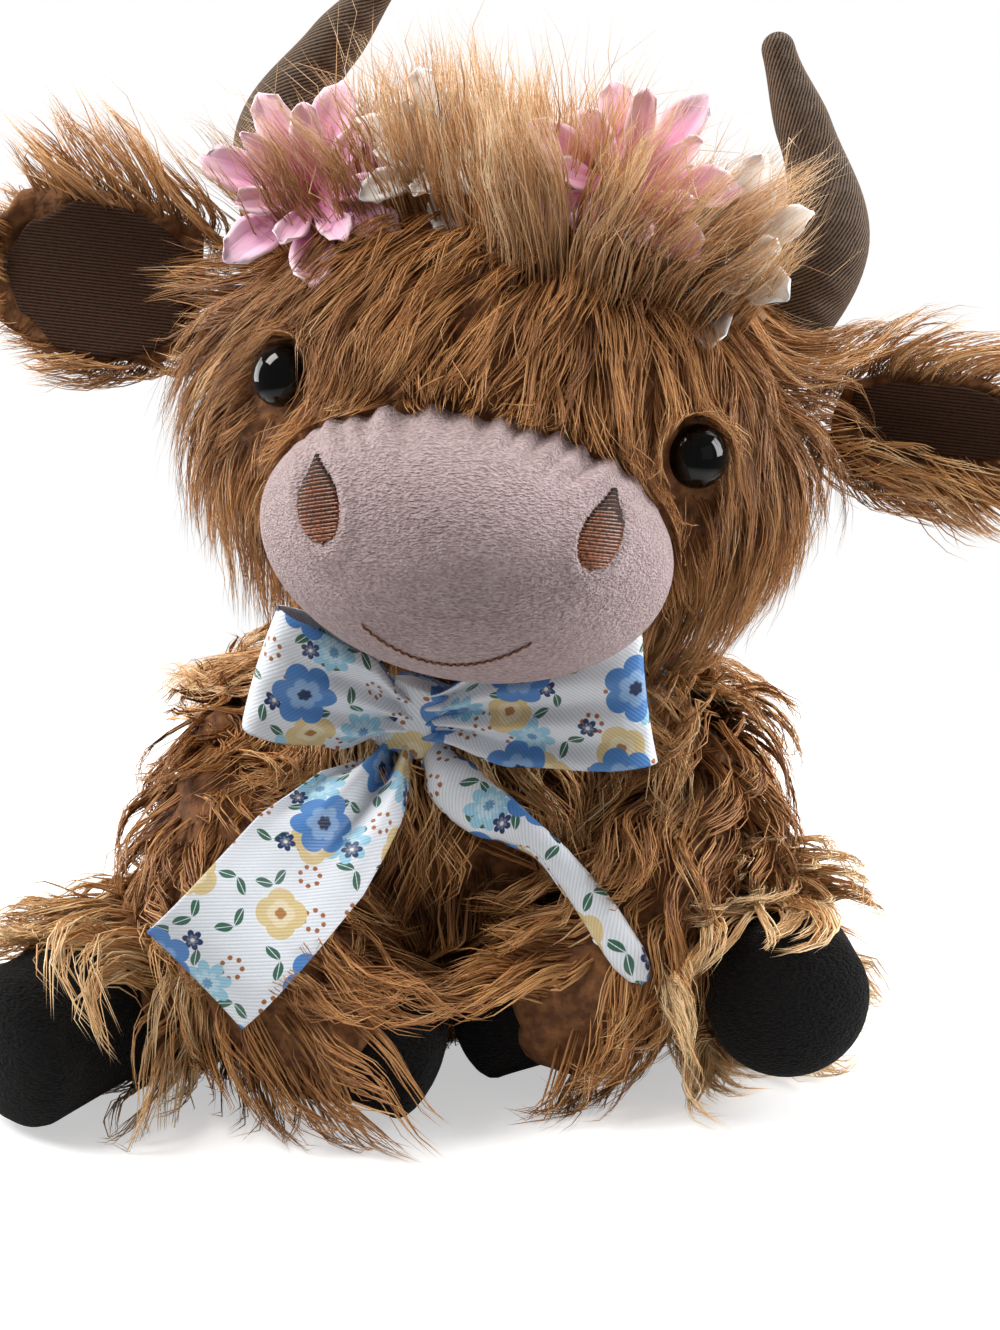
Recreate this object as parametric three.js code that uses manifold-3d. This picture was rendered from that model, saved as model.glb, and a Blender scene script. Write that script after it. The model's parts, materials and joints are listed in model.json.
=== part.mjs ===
// A plush cow that sits on its rump. Torso, head, legs and tail are covers of long-pile
// cloth over fibre filling, with a velour muzzle and hooves, twill horns and ear linings,
// snap-in eyes, stitched nostrils and mouth, a printed ribbon bow and a crown of cloth flowers.
// Millimetres, +Z up, the face towards -Y. The origin is the middle of the flat seat.
// Left and right are the cow's own: its left is +X.

import * as THREE from "three";
import { mergeVertices } from "three/addons/utils/BufferGeometryUtils.js";
import Module from "manifold-3d";

const wasm = await Module();
wasm.setup();

// Cloth and clearances
const pile = 11; // depth of the long pile that stands on its cloth
const backing = 2; // knitted cloth that carries the pile
const crushedPile = 2.5; // pile under the seat, pressed flat
const velour = 1.8;
const twill = 1.4;
const seamGap = 0.4; // room between pieces that are sewn or pressed together
const swingGap = 0.8; // room round the root of a limb in its socket
const overrun = 5; // how far a cutting shape runs past what it cuts

// Torso
const torsoWidth = 180;
const torsoDepth = 146;
const torsoHeight = 138;
const bellyHeight = 52; // the widest level
const seatFlat = 14; // how much of the round bottom the seat flattens
const leanRight = 2; // how far the top stands to the cow's right of the seat
const leanFront = 14;
const bagWidth = 86; // the bag of plastic pellets that weighs the seat down
const bagDepth = 68;
const bagHeight = 26;

// Neck, on which the head tilts
const neckWidth = 52; // the ball of filling between torso and head
const neckSink = 9; // from the top of the torso down to the ball's middle
const headTilt = 10; // degrees, towards the cow's left
const tiltBack = 16; // degrees that the head can tilt the other way
const tiltOn = 8; // degrees that the head can tilt further
const shoulderRoom = 4; // room under the head for it to tilt

// Head
const headWidth = 186;
const headDepth = 152;
const headCrown = 74; // from the widest level to the crown
const headJaw = 68;
const headRise = 61; // from the middle of the neck to the middle of the head
const headReach = 7; // how far the head's middle stands before the neck's

// Muzzle, with its stitching
const muzzleWidth = 116;
const muzzleDepth = 88;
const muzzleHeight = 73;
const muzzleReach = 66; // from the middle of the head
const muzzleDrop = 22;
const nostrilSpacing = 80;
const nostrilRise = 10;
const nostrilWidth = 13;
const nostrilHeight = 25;
const nostrilLean = 8; // degrees, the points outwards
const mouthWidth = 46;
const mouthDrop = 21;
const mouthSag = 9;
const threadWidth = 2;
const threadHeight = 1;

// Eyes
const eyeWidth = 18.5;
const eyeBulge = 8;
const eyeSpacing = 126;
const eyeRise = 12;
const eyeSink = 4; // how deep an eye's rim sits in the pile
const rimThickness = 1.5;
const shankWidth = 5;
const shankLength = 17;
const washerWidth = 15;
const washerThickness = 1.6;

// Ears
const earLength = 70;
const earWidth = 60;
const foldedEarWidth = 42; // the left ear is folded narrower where it is sewn on
const earThickness = 20;
const earRise = 22;
const earBearing = 90; // degrees from straight ahead
const earHollow = 8; // depth of the cupped side
const earRoot = 20; // width of the gathered root
const earGap = 0.5; // between the root and the head's cover
const earFlopDown = 35; // degrees
const earFlopUp = 20;

// Horns
const hornHeight = 92;
const hornBase = 27;
const hornTip = 10;
const hornSpacing = 144;
const hornSink = 14; // how far a horn's root starts below the cover
const hornBow = 14; // how far it bulges outside its root
const hornLean = 12; // how far the tip leans in from the root
const hornBack = 13.5; // how far it stands behind the middle of the head

// Front legs
const shoulderBearing = 61; // degrees from straight ahead
const shoulderHeight = 87;
const frontLegWidth = 56;
const frontHoofWidth = 33;
const frontHoofLength = 26;
const frontHoofReach = 98; // from the seat's middle to the hooves
const frontHoofStagger = 29; // how far the right hoof stands before the left
const frontHoofSpacing = 15;
const frontHoofShift = 2; // how far both stand to the cow's left
const frontKneeOut = 20;
const frontKneeRise = 2;
const frontWristOut = 30;
const frontWristRise = 14;
const frontSwing = 20; // degrees, up to the bow

// Hind legs
const hipBearing = 57;
const hipHeight = 34;
const hindLegWidth = 62;
const hindHoofWidth = 47;
const hindHoofLength = 40;
const leftKneeOut = 9; // the left leg is bent outwards, and its sole faces the front
const leftSoleOut = 101;
const leftSoleReach = 99;
const leftSoleHeight = 37;
const rightKneeOut = -4; // the right leg is nearly straight
const rightSoleOut = 118;
const rightSoleReach = 134;
const rightSoleHeight = 25;
const hindSplay = 25; // degrees that a hind leg swings outwards along the floor

// Tail
const tailLength = 74;
const tailWidth = 14;
const tuftWidth = 27;
const tailHeight = 50;
const tailLift = 60; // degrees

// Ribbon, tied in a bow
const ribbonWidth = 38;
const ribbonThickness = 0.8;
const ribbonCup = 0.9; // how far its middle bulges off the line of its edges
const bowHeight = 112;
const bowBearing = -5; // degrees from straight ahead
const knotWidth = 17;
const knotHeight = 22;
const knotDepth = 12;
const loopLength = 63;
const loopGap = 8;
const loopFlare = 0.3; // how far a loop's outer edge leans, as a slope
const ribbonFall = 100; // length of a tail from the knot
const drapeRoom = 2.5; // between a tail and what it hangs over
const bandWidth = 9; // the ribbon round the neck, folded lengthways

// Crown of cloth flowers
const petalLength = 31;
const petalThickness = 1.2;
const petalRise = 28; // degrees that the petals rise from flat
const flowerTilt = 62; // degrees that a flower is tipped towards the front
const flowerHeart = 12;
const flowerAhead = 5; // how far a flower's heart lies before the cord
const crownCord = 4;
const crownArc = 50; // degrees from the top of the head to the end of the cord
const crownAhead = 13.5; // how far the cord lies before the middle of the head

const half = (size) => size / 2;
const rad = THREE.MathUtils.degToRad;
const at = (x, y, z) => new THREE.Vector3(x, y, z);
const origin = at(0, 0, 0);
const sides = [
  ["left", 1],
  ["right", -1],
];
const upright = Math.PI / 2; // turns a shape built along Y to stand along Z

// A solid for joining and cutting, from a closed three.js geometry.
function solidOf(geometry) {
  const bare = geometry.clone();
  bare.deleteAttribute("normal");
  bare.deleteAttribute("uv");
  const merged = mergeVertices(bare);
  return new wasm.Manifold(
    new wasm.Mesh({
      numProp: 3,
      vertProperties: merged.attributes.position.array,
      triVerts: new Uint32Array(merged.index.array),
    }),
  );
}

function geometryOf(solid) {
  const { numProp, numVert, vertProperties, triVerts } = solid.getMesh();
  const places = new Float32Array(numVert * 3);
  for (let i = 0; i < numVert; i++)
    places.set(vertProperties.subarray(i * numProp, i * numProp + 3), i * 3);
  const geometry = new THREE.BufferGeometry();
  geometry.setAttribute("position", new THREE.BufferAttribute(places, 3));
  geometry.setIndex(new THREE.BufferAttribute(triVerts, 1));
  geometry.computeVertexNormals();
  return geometry;
}

function addPiece(group, name, solid, material) {
  const mesh = new THREE.Mesh(geometryOf(solid), material);
  mesh.name = name;
  group.add(mesh);
}

const moved = (solid, matrix) => solid.transform(matrix.elements);
const without = (solid, ...cutters) =>
  cutters.reduce((left, cutter) => left.subtract(cutter), solid);

// The turn about a line through a point, as a matrix.
function turnAbout(point, axis, degrees) {
  const turn = new THREE.Matrix4().makeRotationAxis(axis, rad(degrees));
  const there = new THREE.Matrix4().makeTranslation(point);
  const back = new THREE.Matrix4().makeTranslation(point.clone().negate());
  return there.multiply(turn).multiply(back);
}

// What a hinged piece has to clear is cut away as it meets the piece at each of its angles.
function clearOf(solid, obstacle, point, axis, angles) {
  const meets = angles.map((angle) => moved(obstacle, turnAbout(point, axis, -angle)));
  return without(solid, ...meets);
}

// A stuffed ball: an ellipsoid whose upper and lower halves differ in height. grow is added
// to every half size, and lean shifts each level in proportion to its height.
function ballSolid(form, grow = 0, around = 20, levels = 12, stretch = 1) {
  const { middle, width, depth, up, down, lean = origin, leanHeight = 1 } = form;
  const geometry = new THREE.SphereGeometry(stretch, around, levels).rotateX(upright);
  const place = geometry.attributes.position;
  for (let i = 0; i < place.count; i++) {
    const rise = place.getZ(i);
    const z = middle.z + rise * ((rise > 0 ? up : down) + grow);
    const shift = z / leanHeight;
    place.setXYZ(
      i,
      middle.x + place.getX(i) * (half(width) + grow) + lean.x * shift,
      middle.y + place.getY(i) * (half(depth) + grow) + lean.y * shift,
      z,
    );
  }
  return solidOf(geometry);
}

// How much a faceted ball has to be stretched to hold the round one.
const roominess = (around, levels) =>
  1 / (Math.cos(Math.PI / around) * Math.cos(half(Math.PI / levels)));
const roomFor = (form, gap, around = 16, levels = 10) =>
  ballSolid(form, gap, around, levels, roominess(around, levels));

function roundForm(middle, radius) {
  return { middle, width: 2 * radius, depth: 2 * radius, up: radius, down: radius };
}
const roundRoom = (middle, radius, around = 12, levels = 6) =>
  roomFor(roundForm(middle, radius), 0, around, levels);

// The point of a ball's surface at a height and a bearing from straight ahead.
function pointOn(form, bearing, height, out = 0) {
  const { middle, width, depth, up, down, lean = origin, leanHeight = 1 } = form;
  const rise = (height - middle.z) / (height > middle.z ? up : down);
  const girth = Math.sqrt(1 - rise * rise);
  const shift = height / leanHeight;
  return at(
    middle.x + (half(width) * girth + out) * Math.sin(rad(bearing)) + lean.x * shift,
    middle.y - (half(depth) * girth + out) * Math.cos(rad(bearing)) + lean.y * shift,
    height,
  );
}

// The y at which a line along Y meets the front of a ball, or the far side of nothing.
function frontOf({ middle, width, depth, up, down, lean = origin, leanHeight = 1 }, x, z) {
  const shift = z / leanHeight;
  const across = (x - middle.x - lean.x * shift) / half(width);
  const rise = (z - middle.z) / (z > middle.z ? up : down);
  const level = 1 - across * across - rise * rise;
  return level > 0 ? middle.y + lean.y * shift - half(depth) * Math.sqrt(level) : Infinity;
}

// A closed skin over rings of points, with a point at each end.
function skinned(rings, start, end) {
  const count = rings[0].length;
  const points = [...rings.flat(), start, end];
  const faces = [];
  rings.forEach((_, i) => {
    for (let j = 0; j < count; j++) {
      const next = (j + 1) % count;
      const [a, b] = [i * count + j, i * count + next];
      if (i === 0) faces.push(points.length - 2, b, a);
      if (i === rings.length - 1) faces.push(points.length - 1, a, b);
      else faces.push(a, b, a + count, b, b + count, a + count);
    }
  });
  const geometry = new THREE.BufferGeometry().setFromPoints(points);
  geometry.setIndex(faces);
  return solidOf(geometry);
}

// The value of a table of [share of the way, value] at a share, smoothly between entries.
function along(table, share) {
  const found = table.findIndex(([place]) => place >= share);
  const next = found < 0 ? table.length - 1 : Math.max(1, found);
  const [[from, low], [to, high]] = [table[next - 1], table[next]];
  return low + (high - low) * THREE.MathUtils.smoothstep(share, from, to);
}

// Points round an oval, given by its middle and its two half widths as vectors.
function oval(middle, across, other, count) {
  return Array.from({ length: count }, (_, j) => {
    const angle = (2 * Math.PI * j) / count;
    const point = middle.clone().addScaledVector(across, Math.cos(angle));
    return point.addScaledVector(other, Math.sin(angle));
  });
}

// A round limb along a curve, from one share of its length to another. girthShares gives its
// width at each share. An end bulges by its round, a share of its own radius, and roomy makes
// the facets hold the round limb.
const endShares = [0.35, 0.7];
const endTurns = endShares.map((share) => share * half(Math.PI));
function limbSolid(curve, width, girthShares, options = {}) {
  const { from = 0, to = 1, grow = 0, rootRound = 1, tipRound = 1 } = options;
  const { around = 12, steps = 5, facing = at(1, 0, 0), roomy = false } = options;
  const stretch = roomy ? 1 / Math.cos(Math.PI / around) : 1;
  const radius = (share) => (half(width) * along(girthShares, share) + grow) * stretch;
  const ring = (share, out, size) => {
    const tangent = curve.getTangentAt(share);
    const across = facing.clone().projectOnPlane(tangent).setLength(size);
    const middle = curve.getPointAt(share).addScaledVector(tangent, out);
    return oval(middle, across, tangent.clone().cross(across), around);
  };
  const bulge = (share, round, away) => {
    const size = radius(share);
    const turns = round ? endTurns : [];
    const rings = turns.map((turn) =>
      ring(share, away * round * size * Math.sin(turn), size * Math.cos(turn)),
    );
    const tip = curve.getPointAt(share);
    tip.addScaledVector(curve.getTangentAt(share), away * round * size);
    return { rings, tip };
  };
  const root = bulge(from, rootRound, -1);
  const tip = bulge(to, tipRound, 1);
  const shaft = Array.from({ length: steps + 1 }, (_, i) => {
    const share = from + ((to - from) * i) / steps;
    return ring(share, 0, radius(share));
  });
  return skinned([...root.rings.reverse(), ...shaft, ...tip.rings], root.tip, tip.tip);
}

// A flat strap through stations of { place, across, width }, across its direction of width.
function strapSolid(stations) {
  const line = new THREE.CatmullRomCurve3(stations.map(({ place }) => place));
  const rings = stations.map(({ place, across, width }, i) => {
    const tangent = line.getTangent(i / (stations.length - 1));
    const wide = across.clone().projectOnPlane(tangent).setLength(half(width));
    const thick = tangent.clone().cross(wide).setLength(1);
    const corners = [
      [1, half(ribbonThickness)],
      [0, ribbonCup + half(ribbonThickness)],
      [-1, half(ribbonThickness)],
      [-1, -half(ribbonThickness)],
      [0, ribbonCup - half(ribbonThickness)],
      [1, -half(ribbonThickness)],
    ];
    return corners.map(([w, t]) => place.clone().addScaledVector(wide, w).addScaledVector(thick, t));
  });
  return skinned(rings, stations[0].place, stations.at(-1).place);
}

// A flat outline in X and Z, made thick along Y between two planes.
function frontPrism(outline, nearY, farY) {
  const options = { depth: farY - nearY, bevelEnabled: false, curveSegments: 6 };
  const geometry = new THREE.ExtrudeGeometry(outline, options).rotateX(upright);
  return solidOf(geometry.translate(0, farY, 0));
}

// A round solid about Z, from a profile of [radius, height] that is drawn from the top down.
function turned(profile, around = 12) {
  const points = profile.map(([r, z]) => new THREE.Vector2(r, z)).reverse();
  return solidOf(new THREE.LatheGeometry(points, around).rotateX(upright));
}

const cloth = (color, roughness = 0.9) =>
  new THREE.MeshStandardMaterial({ color, roughness, metalness: 0 });
const materials = {
  fur: cloth(0x9c6b43),
  velour: cloth(0xc6abaa),
  hoof: cloth(0x141519),
  twill: cloth(0x5d4d40),
  lining: cloth(0x3b2c23),
  thread: cloth(0x7d4527, 0.5),
  fibre: cloth(0xf1efea, 1),
  pellets: cloth(0xd9d6cc, 0.6),
  eye: cloth(0x070708, 0.08),
  washer: cloth(0xe6e4dd, 0.4),
  ribbon: cloth(0xdfe7ee, 0.45),
  pinkPetal: cloth(0xf0a3c8, 0.7),
  whitePetal: cloth(0xf6f4f0, 0.7),
  cord: cloth(0x6f8f58, 0.8),
};

// Forms that the pieces share
const wall = pile + backing;
const torsoForm = {
  middle: at(0, 0, bellyHeight),
  width: torsoWidth,
  depth: torsoDepth,
  up: torsoHeight - bellyHeight,
  down: bellyHeight + seatFlat,
  lean: at(-leanRight, -leanFront, 0),
  leanHeight: torsoHeight,
};
const neck = at(-leanRight, -leanFront, torsoHeight - neckSink);
const headForm = {
  middle: at(0, -headReach, headRise),
  width: headWidth,
  depth: headDepth,
  up: headCrown,
  down: headJaw,
};
const muzzleForm = {
  middle: headForm.middle.clone().add(at(0, -muzzleReach, -muzzleDrop)),
  width: muzzleWidth,
  depth: muzzleDepth,
  up: half(muzzleHeight),
  down: half(muzzleHeight),
};
const reach = torsoWidth + torsoHeight + hindLegWidth; // further than any piece
const block = (width, height, z) =>
  solidOf(new THREE.BoxGeometry(width, width, height).translate(0, 0, z));
const underFloor = block(2 * reach, reach, -half(reach));
const nothing = underFloor.subtract(underFloor);

const cow = new THREE.Group();
const head = new THREE.Group();
head.position.copy(neck);
head.rotation.y = rad(headTilt);
cow.add(head);
head.updateMatrixWorld(true);
const intoHead = head.matrixWorld.clone().invert();

const torsoRoom = roomFor(torsoForm, seamGap);
const headRoom = ballSolid(headForm, seamGap);

// Front leg: down from the shoulder before the belly, the hooves side by side on the floor.
const kneeShare = 0.45; // of the way from the root to the sole
const frontGirthShares = [
  [0, 0.78],
  [0.35, 1],
  [0.7, 0.98],
  [1, 0.8],
];

function frontLeg(side) {
  const root = pointOn(torsoForm, side * shoulderBearing, shoulderHeight);
  const sole = at(
    frontHoofShift + half(side * frontHoofSpacing),
    -frontHoofReach + half(side * frontHoofStagger),
    half(frontHoofWidth) + seamGap,
  );
  const bend = at(side * frontKneeOut, -half(frontKneeOut), frontKneeRise);
  const knee = root.clone().lerp(sole, kneeShare).add(bend);
  const wrist = sole.clone().add(at(side * frontWristOut, 0, frontWristRise));
  return {
    root,
    curve: new THREE.CatmullRomCurve3([root, knee, wrist, sole]),
    axis: at(-1, 0, 0),
    swing: frontSwing,
    width: frontLegWidth,
    hoofWidth: frontHoofWidth,
    hoofLength: frontHoofLength,
    girthShares: frontGirthShares,
  };
}

// Hind leg: from the hip along the floor, splayed, ending in the sole.
const hindGirthShares = [
  [0, 0.88],
  [0.4, 1],
  [0.8, 0.94],
  [1, 0.84],
];

function hindLeg(side) {
  const root = pointOn(torsoForm, side * hipBearing, hipHeight);
  const sole =
    side > 0
      ? at(leftSoleOut, -leftSoleReach, leftSoleHeight)
      : at(-rightSoleOut, -rightSoleReach, rightSoleHeight);
  const kneeOut = side > 0 ? leftKneeOut : rightKneeOut;
  const knee = root.clone().lerp(sole, kneeShare).add(at(side * kneeOut, 0, 0));
  return {
    root,
    curve: new THREE.CatmullRomCurve3([root, knee, sole]),
    axis: at(0, 0, side),
    swing: hindSplay,
    width: hindLegWidth,
    hoofWidth: hindHoofWidth,
    hoofLength: hindHoofLength,
    girthShares: hindGirthShares,
  };
}

// A leg's sleeve of long pile ends before the hoof, a velour cap over the end of the filling.
const soleRoundShare = 0.4; // how far the sole bulges, in its own radii
const cuffRoundShare = 0.3;
const evenShares = [
  [0, 1],
  [1, 1],
];
function legSolids(leg) {
  const length = leg.curve.getLength();
  const split = 1 - leg.hoofLength / length;
  const coreWidth = leg.width - 2 * wall;
  const insideHoof = leg.hoofWidth - 2 * velour - 2 * seamGap;
  const coreShares = [
    [0, 0.9],
    [split, Math.min(1, insideHoof / coreWidth)],
    [1, insideHoof / coreWidth],
  ];
  const core = (grow) =>
    limbSolid(leg.curve, coreWidth, coreShares, {
      grow,
      to: 1 - (velour + seamGap) / length,
      tipRound: soleRoundShare,
      around: 10,
    });
  const hoof = (grow) =>
    limbSolid(leg.curve, leg.hoofWidth, evenShares, {
      grow,
      from: split - grow / length,
      rootRound: 0,
      tipRound: soleRoundShare,
      steps: 2,
    });
  const cuff = { to: split, tipRound: cuffRoundShare };
  const sleeve = (options) =>
    limbSolid(leg.curve, leg.width, leg.girthShares, { ...cuff, ...options });
  return {
    outer: sleeve({}).subtract(hoof(seamGap)),
    rooms: [sleeve({ grow: swingGap, around: 8, roomy: true }), hoof(swingGap)],
    core: core(0),
    coreRoom: core(seamGap),
    hoof: hoof(0),
  };
}

const rootRadius = (leg) => half(leg.width) * leg.girthShares[0][1];
const socketOf = (leg, gap = swingGap) => roundRoom(leg.root, rootRadius(leg) + gap);

function addLeg(name, leg, moving, standing) {
  const { outer, core, coreRoom, hoof, rooms } = legSolids(leg);
  const torsoBlock = roomFor(torsoForm, swingGap).subtract(socketOf(leg, half(swingGap)));
  const swings = [0, half(leg.swing), leg.swing];
  const obstacles = torsoBlock.add(moving);
  const fitted = (solid) =>
    without(clearOf(solid, obstacles, leg.root, leg.axis, swings), underFloor, standing);
  addPiece(cow, name, fitted(outer.subtract(coreRoom)), materials.fur);
  addPiece(cow, name + "_filling", fitted(core), materials.fibre);
  addPiece(cow, name.replace("leg", "hoof"), without(hoof, coreRoom, underFloor), materials.hoof);
  const swept = swings.flatMap((angle) =>
    rooms.map((room) => moved(room, turnAbout(leg.root, leg.axis, angle))),
  );
  return wasm.Manifold.hull(swept);
}

// Ribbon: a band round the neck, folded lengthways, which presses on the shoulders.
const bandThickness = 2 * ribbonThickness;
const bandSolid = (grow) =>
  ballSolid(torsoForm, seamGap + bandThickness + grow)
    .subtract(ballSolid(torsoForm, seamGap - grow))
    .intersect(block(2 * reach, bandWidth + 2 * grow, bowHeight));
const bandRoom = bandSolid(seamGap);
addPiece(cow, "ribbon_band", bandSolid(0), materials.ribbon);

const frontLegs = sides.map(([, side]) => frontLeg(side));
const hindLegs = sides.map(([, side]) => hindLeg(side));
const legs = [...frontLegs, ...hindLegs];

// The front legs rest on the hind ones, which keep their round and swing from under them.
sides.forEach(([word], i) => {
  const hindRoom = addLeg("hind_leg_" + word, hindLegs[i], nothing, nothing);
  addLeg("front_leg_" + word, frontLegs[i], hindRoom, bandRoom);
});

// Tail: a furred cord from the rump to the floor behind, ending in a tuft.
const tailRoot = pointOn(torsoForm, 180, tailHeight);
const tailEnd = tailRoot.clone().add(at(tailWidth, tailLength, 0)).setZ(half(tuftWidth));
const tailBendShare = 0.6; // where it reaches its line to the floor
const tailCurve = new THREE.CatmullRomCurve3([
  tailRoot,
  tailRoot.clone().add(at(0, tailWidth, -half(tailWidth))),
  tailRoot.clone().lerp(tailEnd, tailBendShare),
  tailEnd,
]);
const tailAxis = at(1, 0, 0);
const tuftShare = 0.62; // where the tuft starts
const tailShares = [
  [0, 1],
  [0.5, 0.85],
  [1, 1],
];
const tuftShares = [
  [0.6, 0.55],
  [0.9, 1],
  [1, 0.7],
];
const tailSocket = (gap) => roundRoom(tailRoot, half(tailWidth) + gap, 10, 6);
const tailBlock = torsoRoom.subtract(tailSocket(half(swingGap)));
const tailCord = limbSolid(tailCurve, tailWidth, tailShares, {
  to: tuftShare - seamGap / tailLength,
  around: 10,
  tipRound: 0,
});
const tuft = limbSolid(tailCurve, tuftWidth, tuftShares, {
  from: tuftShare,
  around: 12,
  rootRound: 0,
  steps: 3,
});
addPiece(cow, "tail", clearOf(tailCord, tailBlock, tailRoot, tailAxis, [0, tailLift]), materials.fur);
addPiece(cow, "tail_tuft", tuft.subtract(underFloor), materials.fur);

// Torso: the cover, the filling that rises into the neck's ball, and the bag of pellets.
const neckRoom = roundRoom(neck, half(neckWidth) + seamGap, 16, 10);
const sockets = [...legs.map((leg) => socketOf(leg)), tailSocket(swingGap)];
const torsoInside = (gap) =>
  ballSolid(torsoForm, -wall - gap, 14, 8).subtract(underFloor.translate(0, 0, crushedPile + gap));
const bagForm = {
  middle: at(0, 0, crushedPile + half(bagHeight)),
  width: bagWidth,
  depth: bagDepth,
  up: half(bagHeight),
  down: half(bagHeight),
};
const bagFloor = underFloor.translate(0, 0, crushedPile + 2 * seamGap);
const bagSpace = roomFor(bagForm, seamGap, 12, 8).add(
  solidOf(
    new THREE.CylinderGeometry(1, 1, 1, 12)
      .rotateX(upright)
      .scale(half(bagWidth) + seamGap, half(bagDepth) + seamGap, half(bagHeight))
      .translate(0, 0, crushedPile + half(half(bagHeight))),
  ),
);
const torsoOuter = ballSolid(torsoForm).subtract(underFloor);
const torsoShell = without(torsoOuter, torsoInside(0), neckRoom, ...sockets);
addPiece(cow, "torso_cover", torsoShell, materials.fur);
const neckBall = ballSolid(roundForm(neck, half(neckWidth)), 0, 16, 10);
const torsoStuffing = torsoInside(seamGap).subtract(bagSpace).add(neckBall);
addPiece(cow, "torso_filling", without(torsoStuffing, ...sockets), materials.fibre);
addPiece(cow, "pellet_bag", ballSolid(bagForm, 0, 12, 8).subtract(bagFloor), materials.pellets);

// Head: the cover is open at the neck, where the filling sits on the neck's ball.
const tiltAxis = at(0, 1, 0);
const shoulders = moved(roomFor(torsoForm, shoulderRoom), intoHead);
const neckHollow = moved(neckRoom, intoHead);
const overShoulders = (solid) =>
  clearOf(solid.subtract(neckHollow), shoulders, origin, tiltAxis, [-tiltBack, 0, tiltOn]);
const headInside = (gap) => ballSolid(headForm, -wall - gap, 14, 8);

// Eyes: a dome on a shank that runs through the cover, held by a washer inside.
function eyePlace(side) {
  const x = half(side * eyeSpacing);
  const z = headForm.middle.z + eyeRise;
  const place = at(x, frontOf(headForm, x, z), z);
  const normal = place.clone().sub(headForm.middle);
  normal.divide(at(headWidth ** 2, headDepth ** 2, (2 * headCrown) ** 2)).normalize();
  const turn = new THREE.Quaternion().setFromUnitVectors(at(0, 0, 1), normal);
  return new THREE.Matrix4().compose(place.addScaledVector(normal, -eyeSink), turn, at(1, 1, 1));
}

// A round pin about Z: its head of one radius down to a level, then its shank to the end.
const pinProfile = (headRadius, headEnd, shankRadius, shankEnd) => [
  [headRadius, headEnd],
  [shankRadius, headEnd],
  [shankRadius, shankEnd],
  [0, shankEnd],
];
const domeShares = [0, 0.3, 0.6, 0.85, 1]; // of the turn from the dome's top to its rim
const domeTurns = domeShares.map((share) => share * half(Math.PI));
const eye = turned([
  ...domeTurns.map((turn) => [half(eyeWidth) * Math.sin(turn), eyeBulge * Math.cos(turn)]),
  ...pinProfile(half(eyeWidth), -rimThickness, half(shankWidth), -rimThickness - shankLength),
]);
const eyeRoom = turned([
  [0, eyeBulge + overrun],
  [half(eyeWidth) + 2 * seamGap, eyeBulge + overrun],
  ...pinProfile(
    half(eyeWidth) + 2 * seamGap,
    -rimThickness - seamGap,
    half(shankWidth) + seamGap,
    -rimThickness - shankLength - seamGap,
  ),
]);
const washerTop = eyeSink - wall - 2 * seamGap;
const washerBottom = washerTop - washerThickness;
const washer = turned([
  [half(shankWidth) + seamGap, washerTop],
  [half(washerWidth), washerTop],
  [half(washerWidth), washerBottom],
  [half(shankWidth) + seamGap, washerBottom],
  [half(shankWidth) + seamGap, washerTop],
]);
const washerRoom = (top) =>
  turned([
    [0, top],
    [half(washerWidth) + seamGap, top],
    [half(washerWidth) + seamGap, washerBottom - seamGap],
    [0, washerBottom - seamGap],
  ]);
const eyePlaces = sides.map(([, side]) => eyePlace(side));
const eyeCuts = eyePlaces.map((place) => moved(eyeRoom, place));
const washerSeats = eyePlaces.map((place) => moved(washerRoom(washerTop + seamGap), place));
const washerCuts = eyePlaces.map((place) => moved(washerRoom(washerTop + overrun), place));
sides.forEach(([word], i) => {
  addPiece(head, "eye_" + word, moved(eye, eyePlaces[i]), materials.eye);
  addPiece(head, "eye_washer_" + word, moved(washer, eyePlaces[i]), materials.washer);
});

const headShell = overShoulders(ballSolid(headForm).subtract(headInside(0)));
const headStuffing = overShoulders(headInside(seamGap));
addPiece(head, "head_cover", without(headShell, ...eyeCuts, ...washerSeats), materials.fur);
addPiece(head, "head_filling", without(headStuffing, ...eyeCuts, ...washerCuts), materials.fibre);

// Muzzle: a velour cover open towards the face, its filling, and the stitching on it.
const muzzleBall = (grow) => ballSolid(muzzleForm, grow, 20, 12);
const muzzleInside = (gap) => ballSolid(muzzleForm, -velour - gap, 14, 8);
const inMuzzle = (solid) => overShoulders(solid.subtract(headRoom));
const muzzleShell = muzzleBall(0).subtract(muzzleInside(0));
addPiece(head, "muzzle_cover", inMuzzle(muzzleShell), materials.velour);
addPiece(head, "muzzle_filling", inMuzzle(muzzleInside(seamGap)), materials.fibre);

const threadLayer = muzzleBall(seamGap + threadHeight).subtract(muzzleBall(seamGap));
const stitched = (outline) =>
  threadLayer.intersect(frontPrism(outline, muzzleForm.middle.y - muzzleDepth, muzzleForm.middle.y));

function nostrilOutline(side) {
  const [wide, high] = [half(nostrilWidth), half(nostrilHeight)];
  const outline = new THREE.Path();
  outline.moveTo(0, high);
  outline.bezierCurveTo(half(wide), half(high), wide, 0, wide, -half(high));
  outline.bezierCurveTo(wide, -high, -wide, -high, -wide, -half(high));
  outline.bezierCurveTo(-wide, 0, -half(wide), half(high), 0, high);
  const middle = new THREE.Vector2(half(side * nostrilSpacing), muzzleForm.middle.z + nostrilRise);
  const pivot = new THREE.Vector2();
  const lean = -rad(side * nostrilLean);
  const points = outline.getPoints(4).slice(1);
  return new THREE.Shape(points.map((point) => point.rotateAround(pivot, lean).add(middle)));
}

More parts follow.
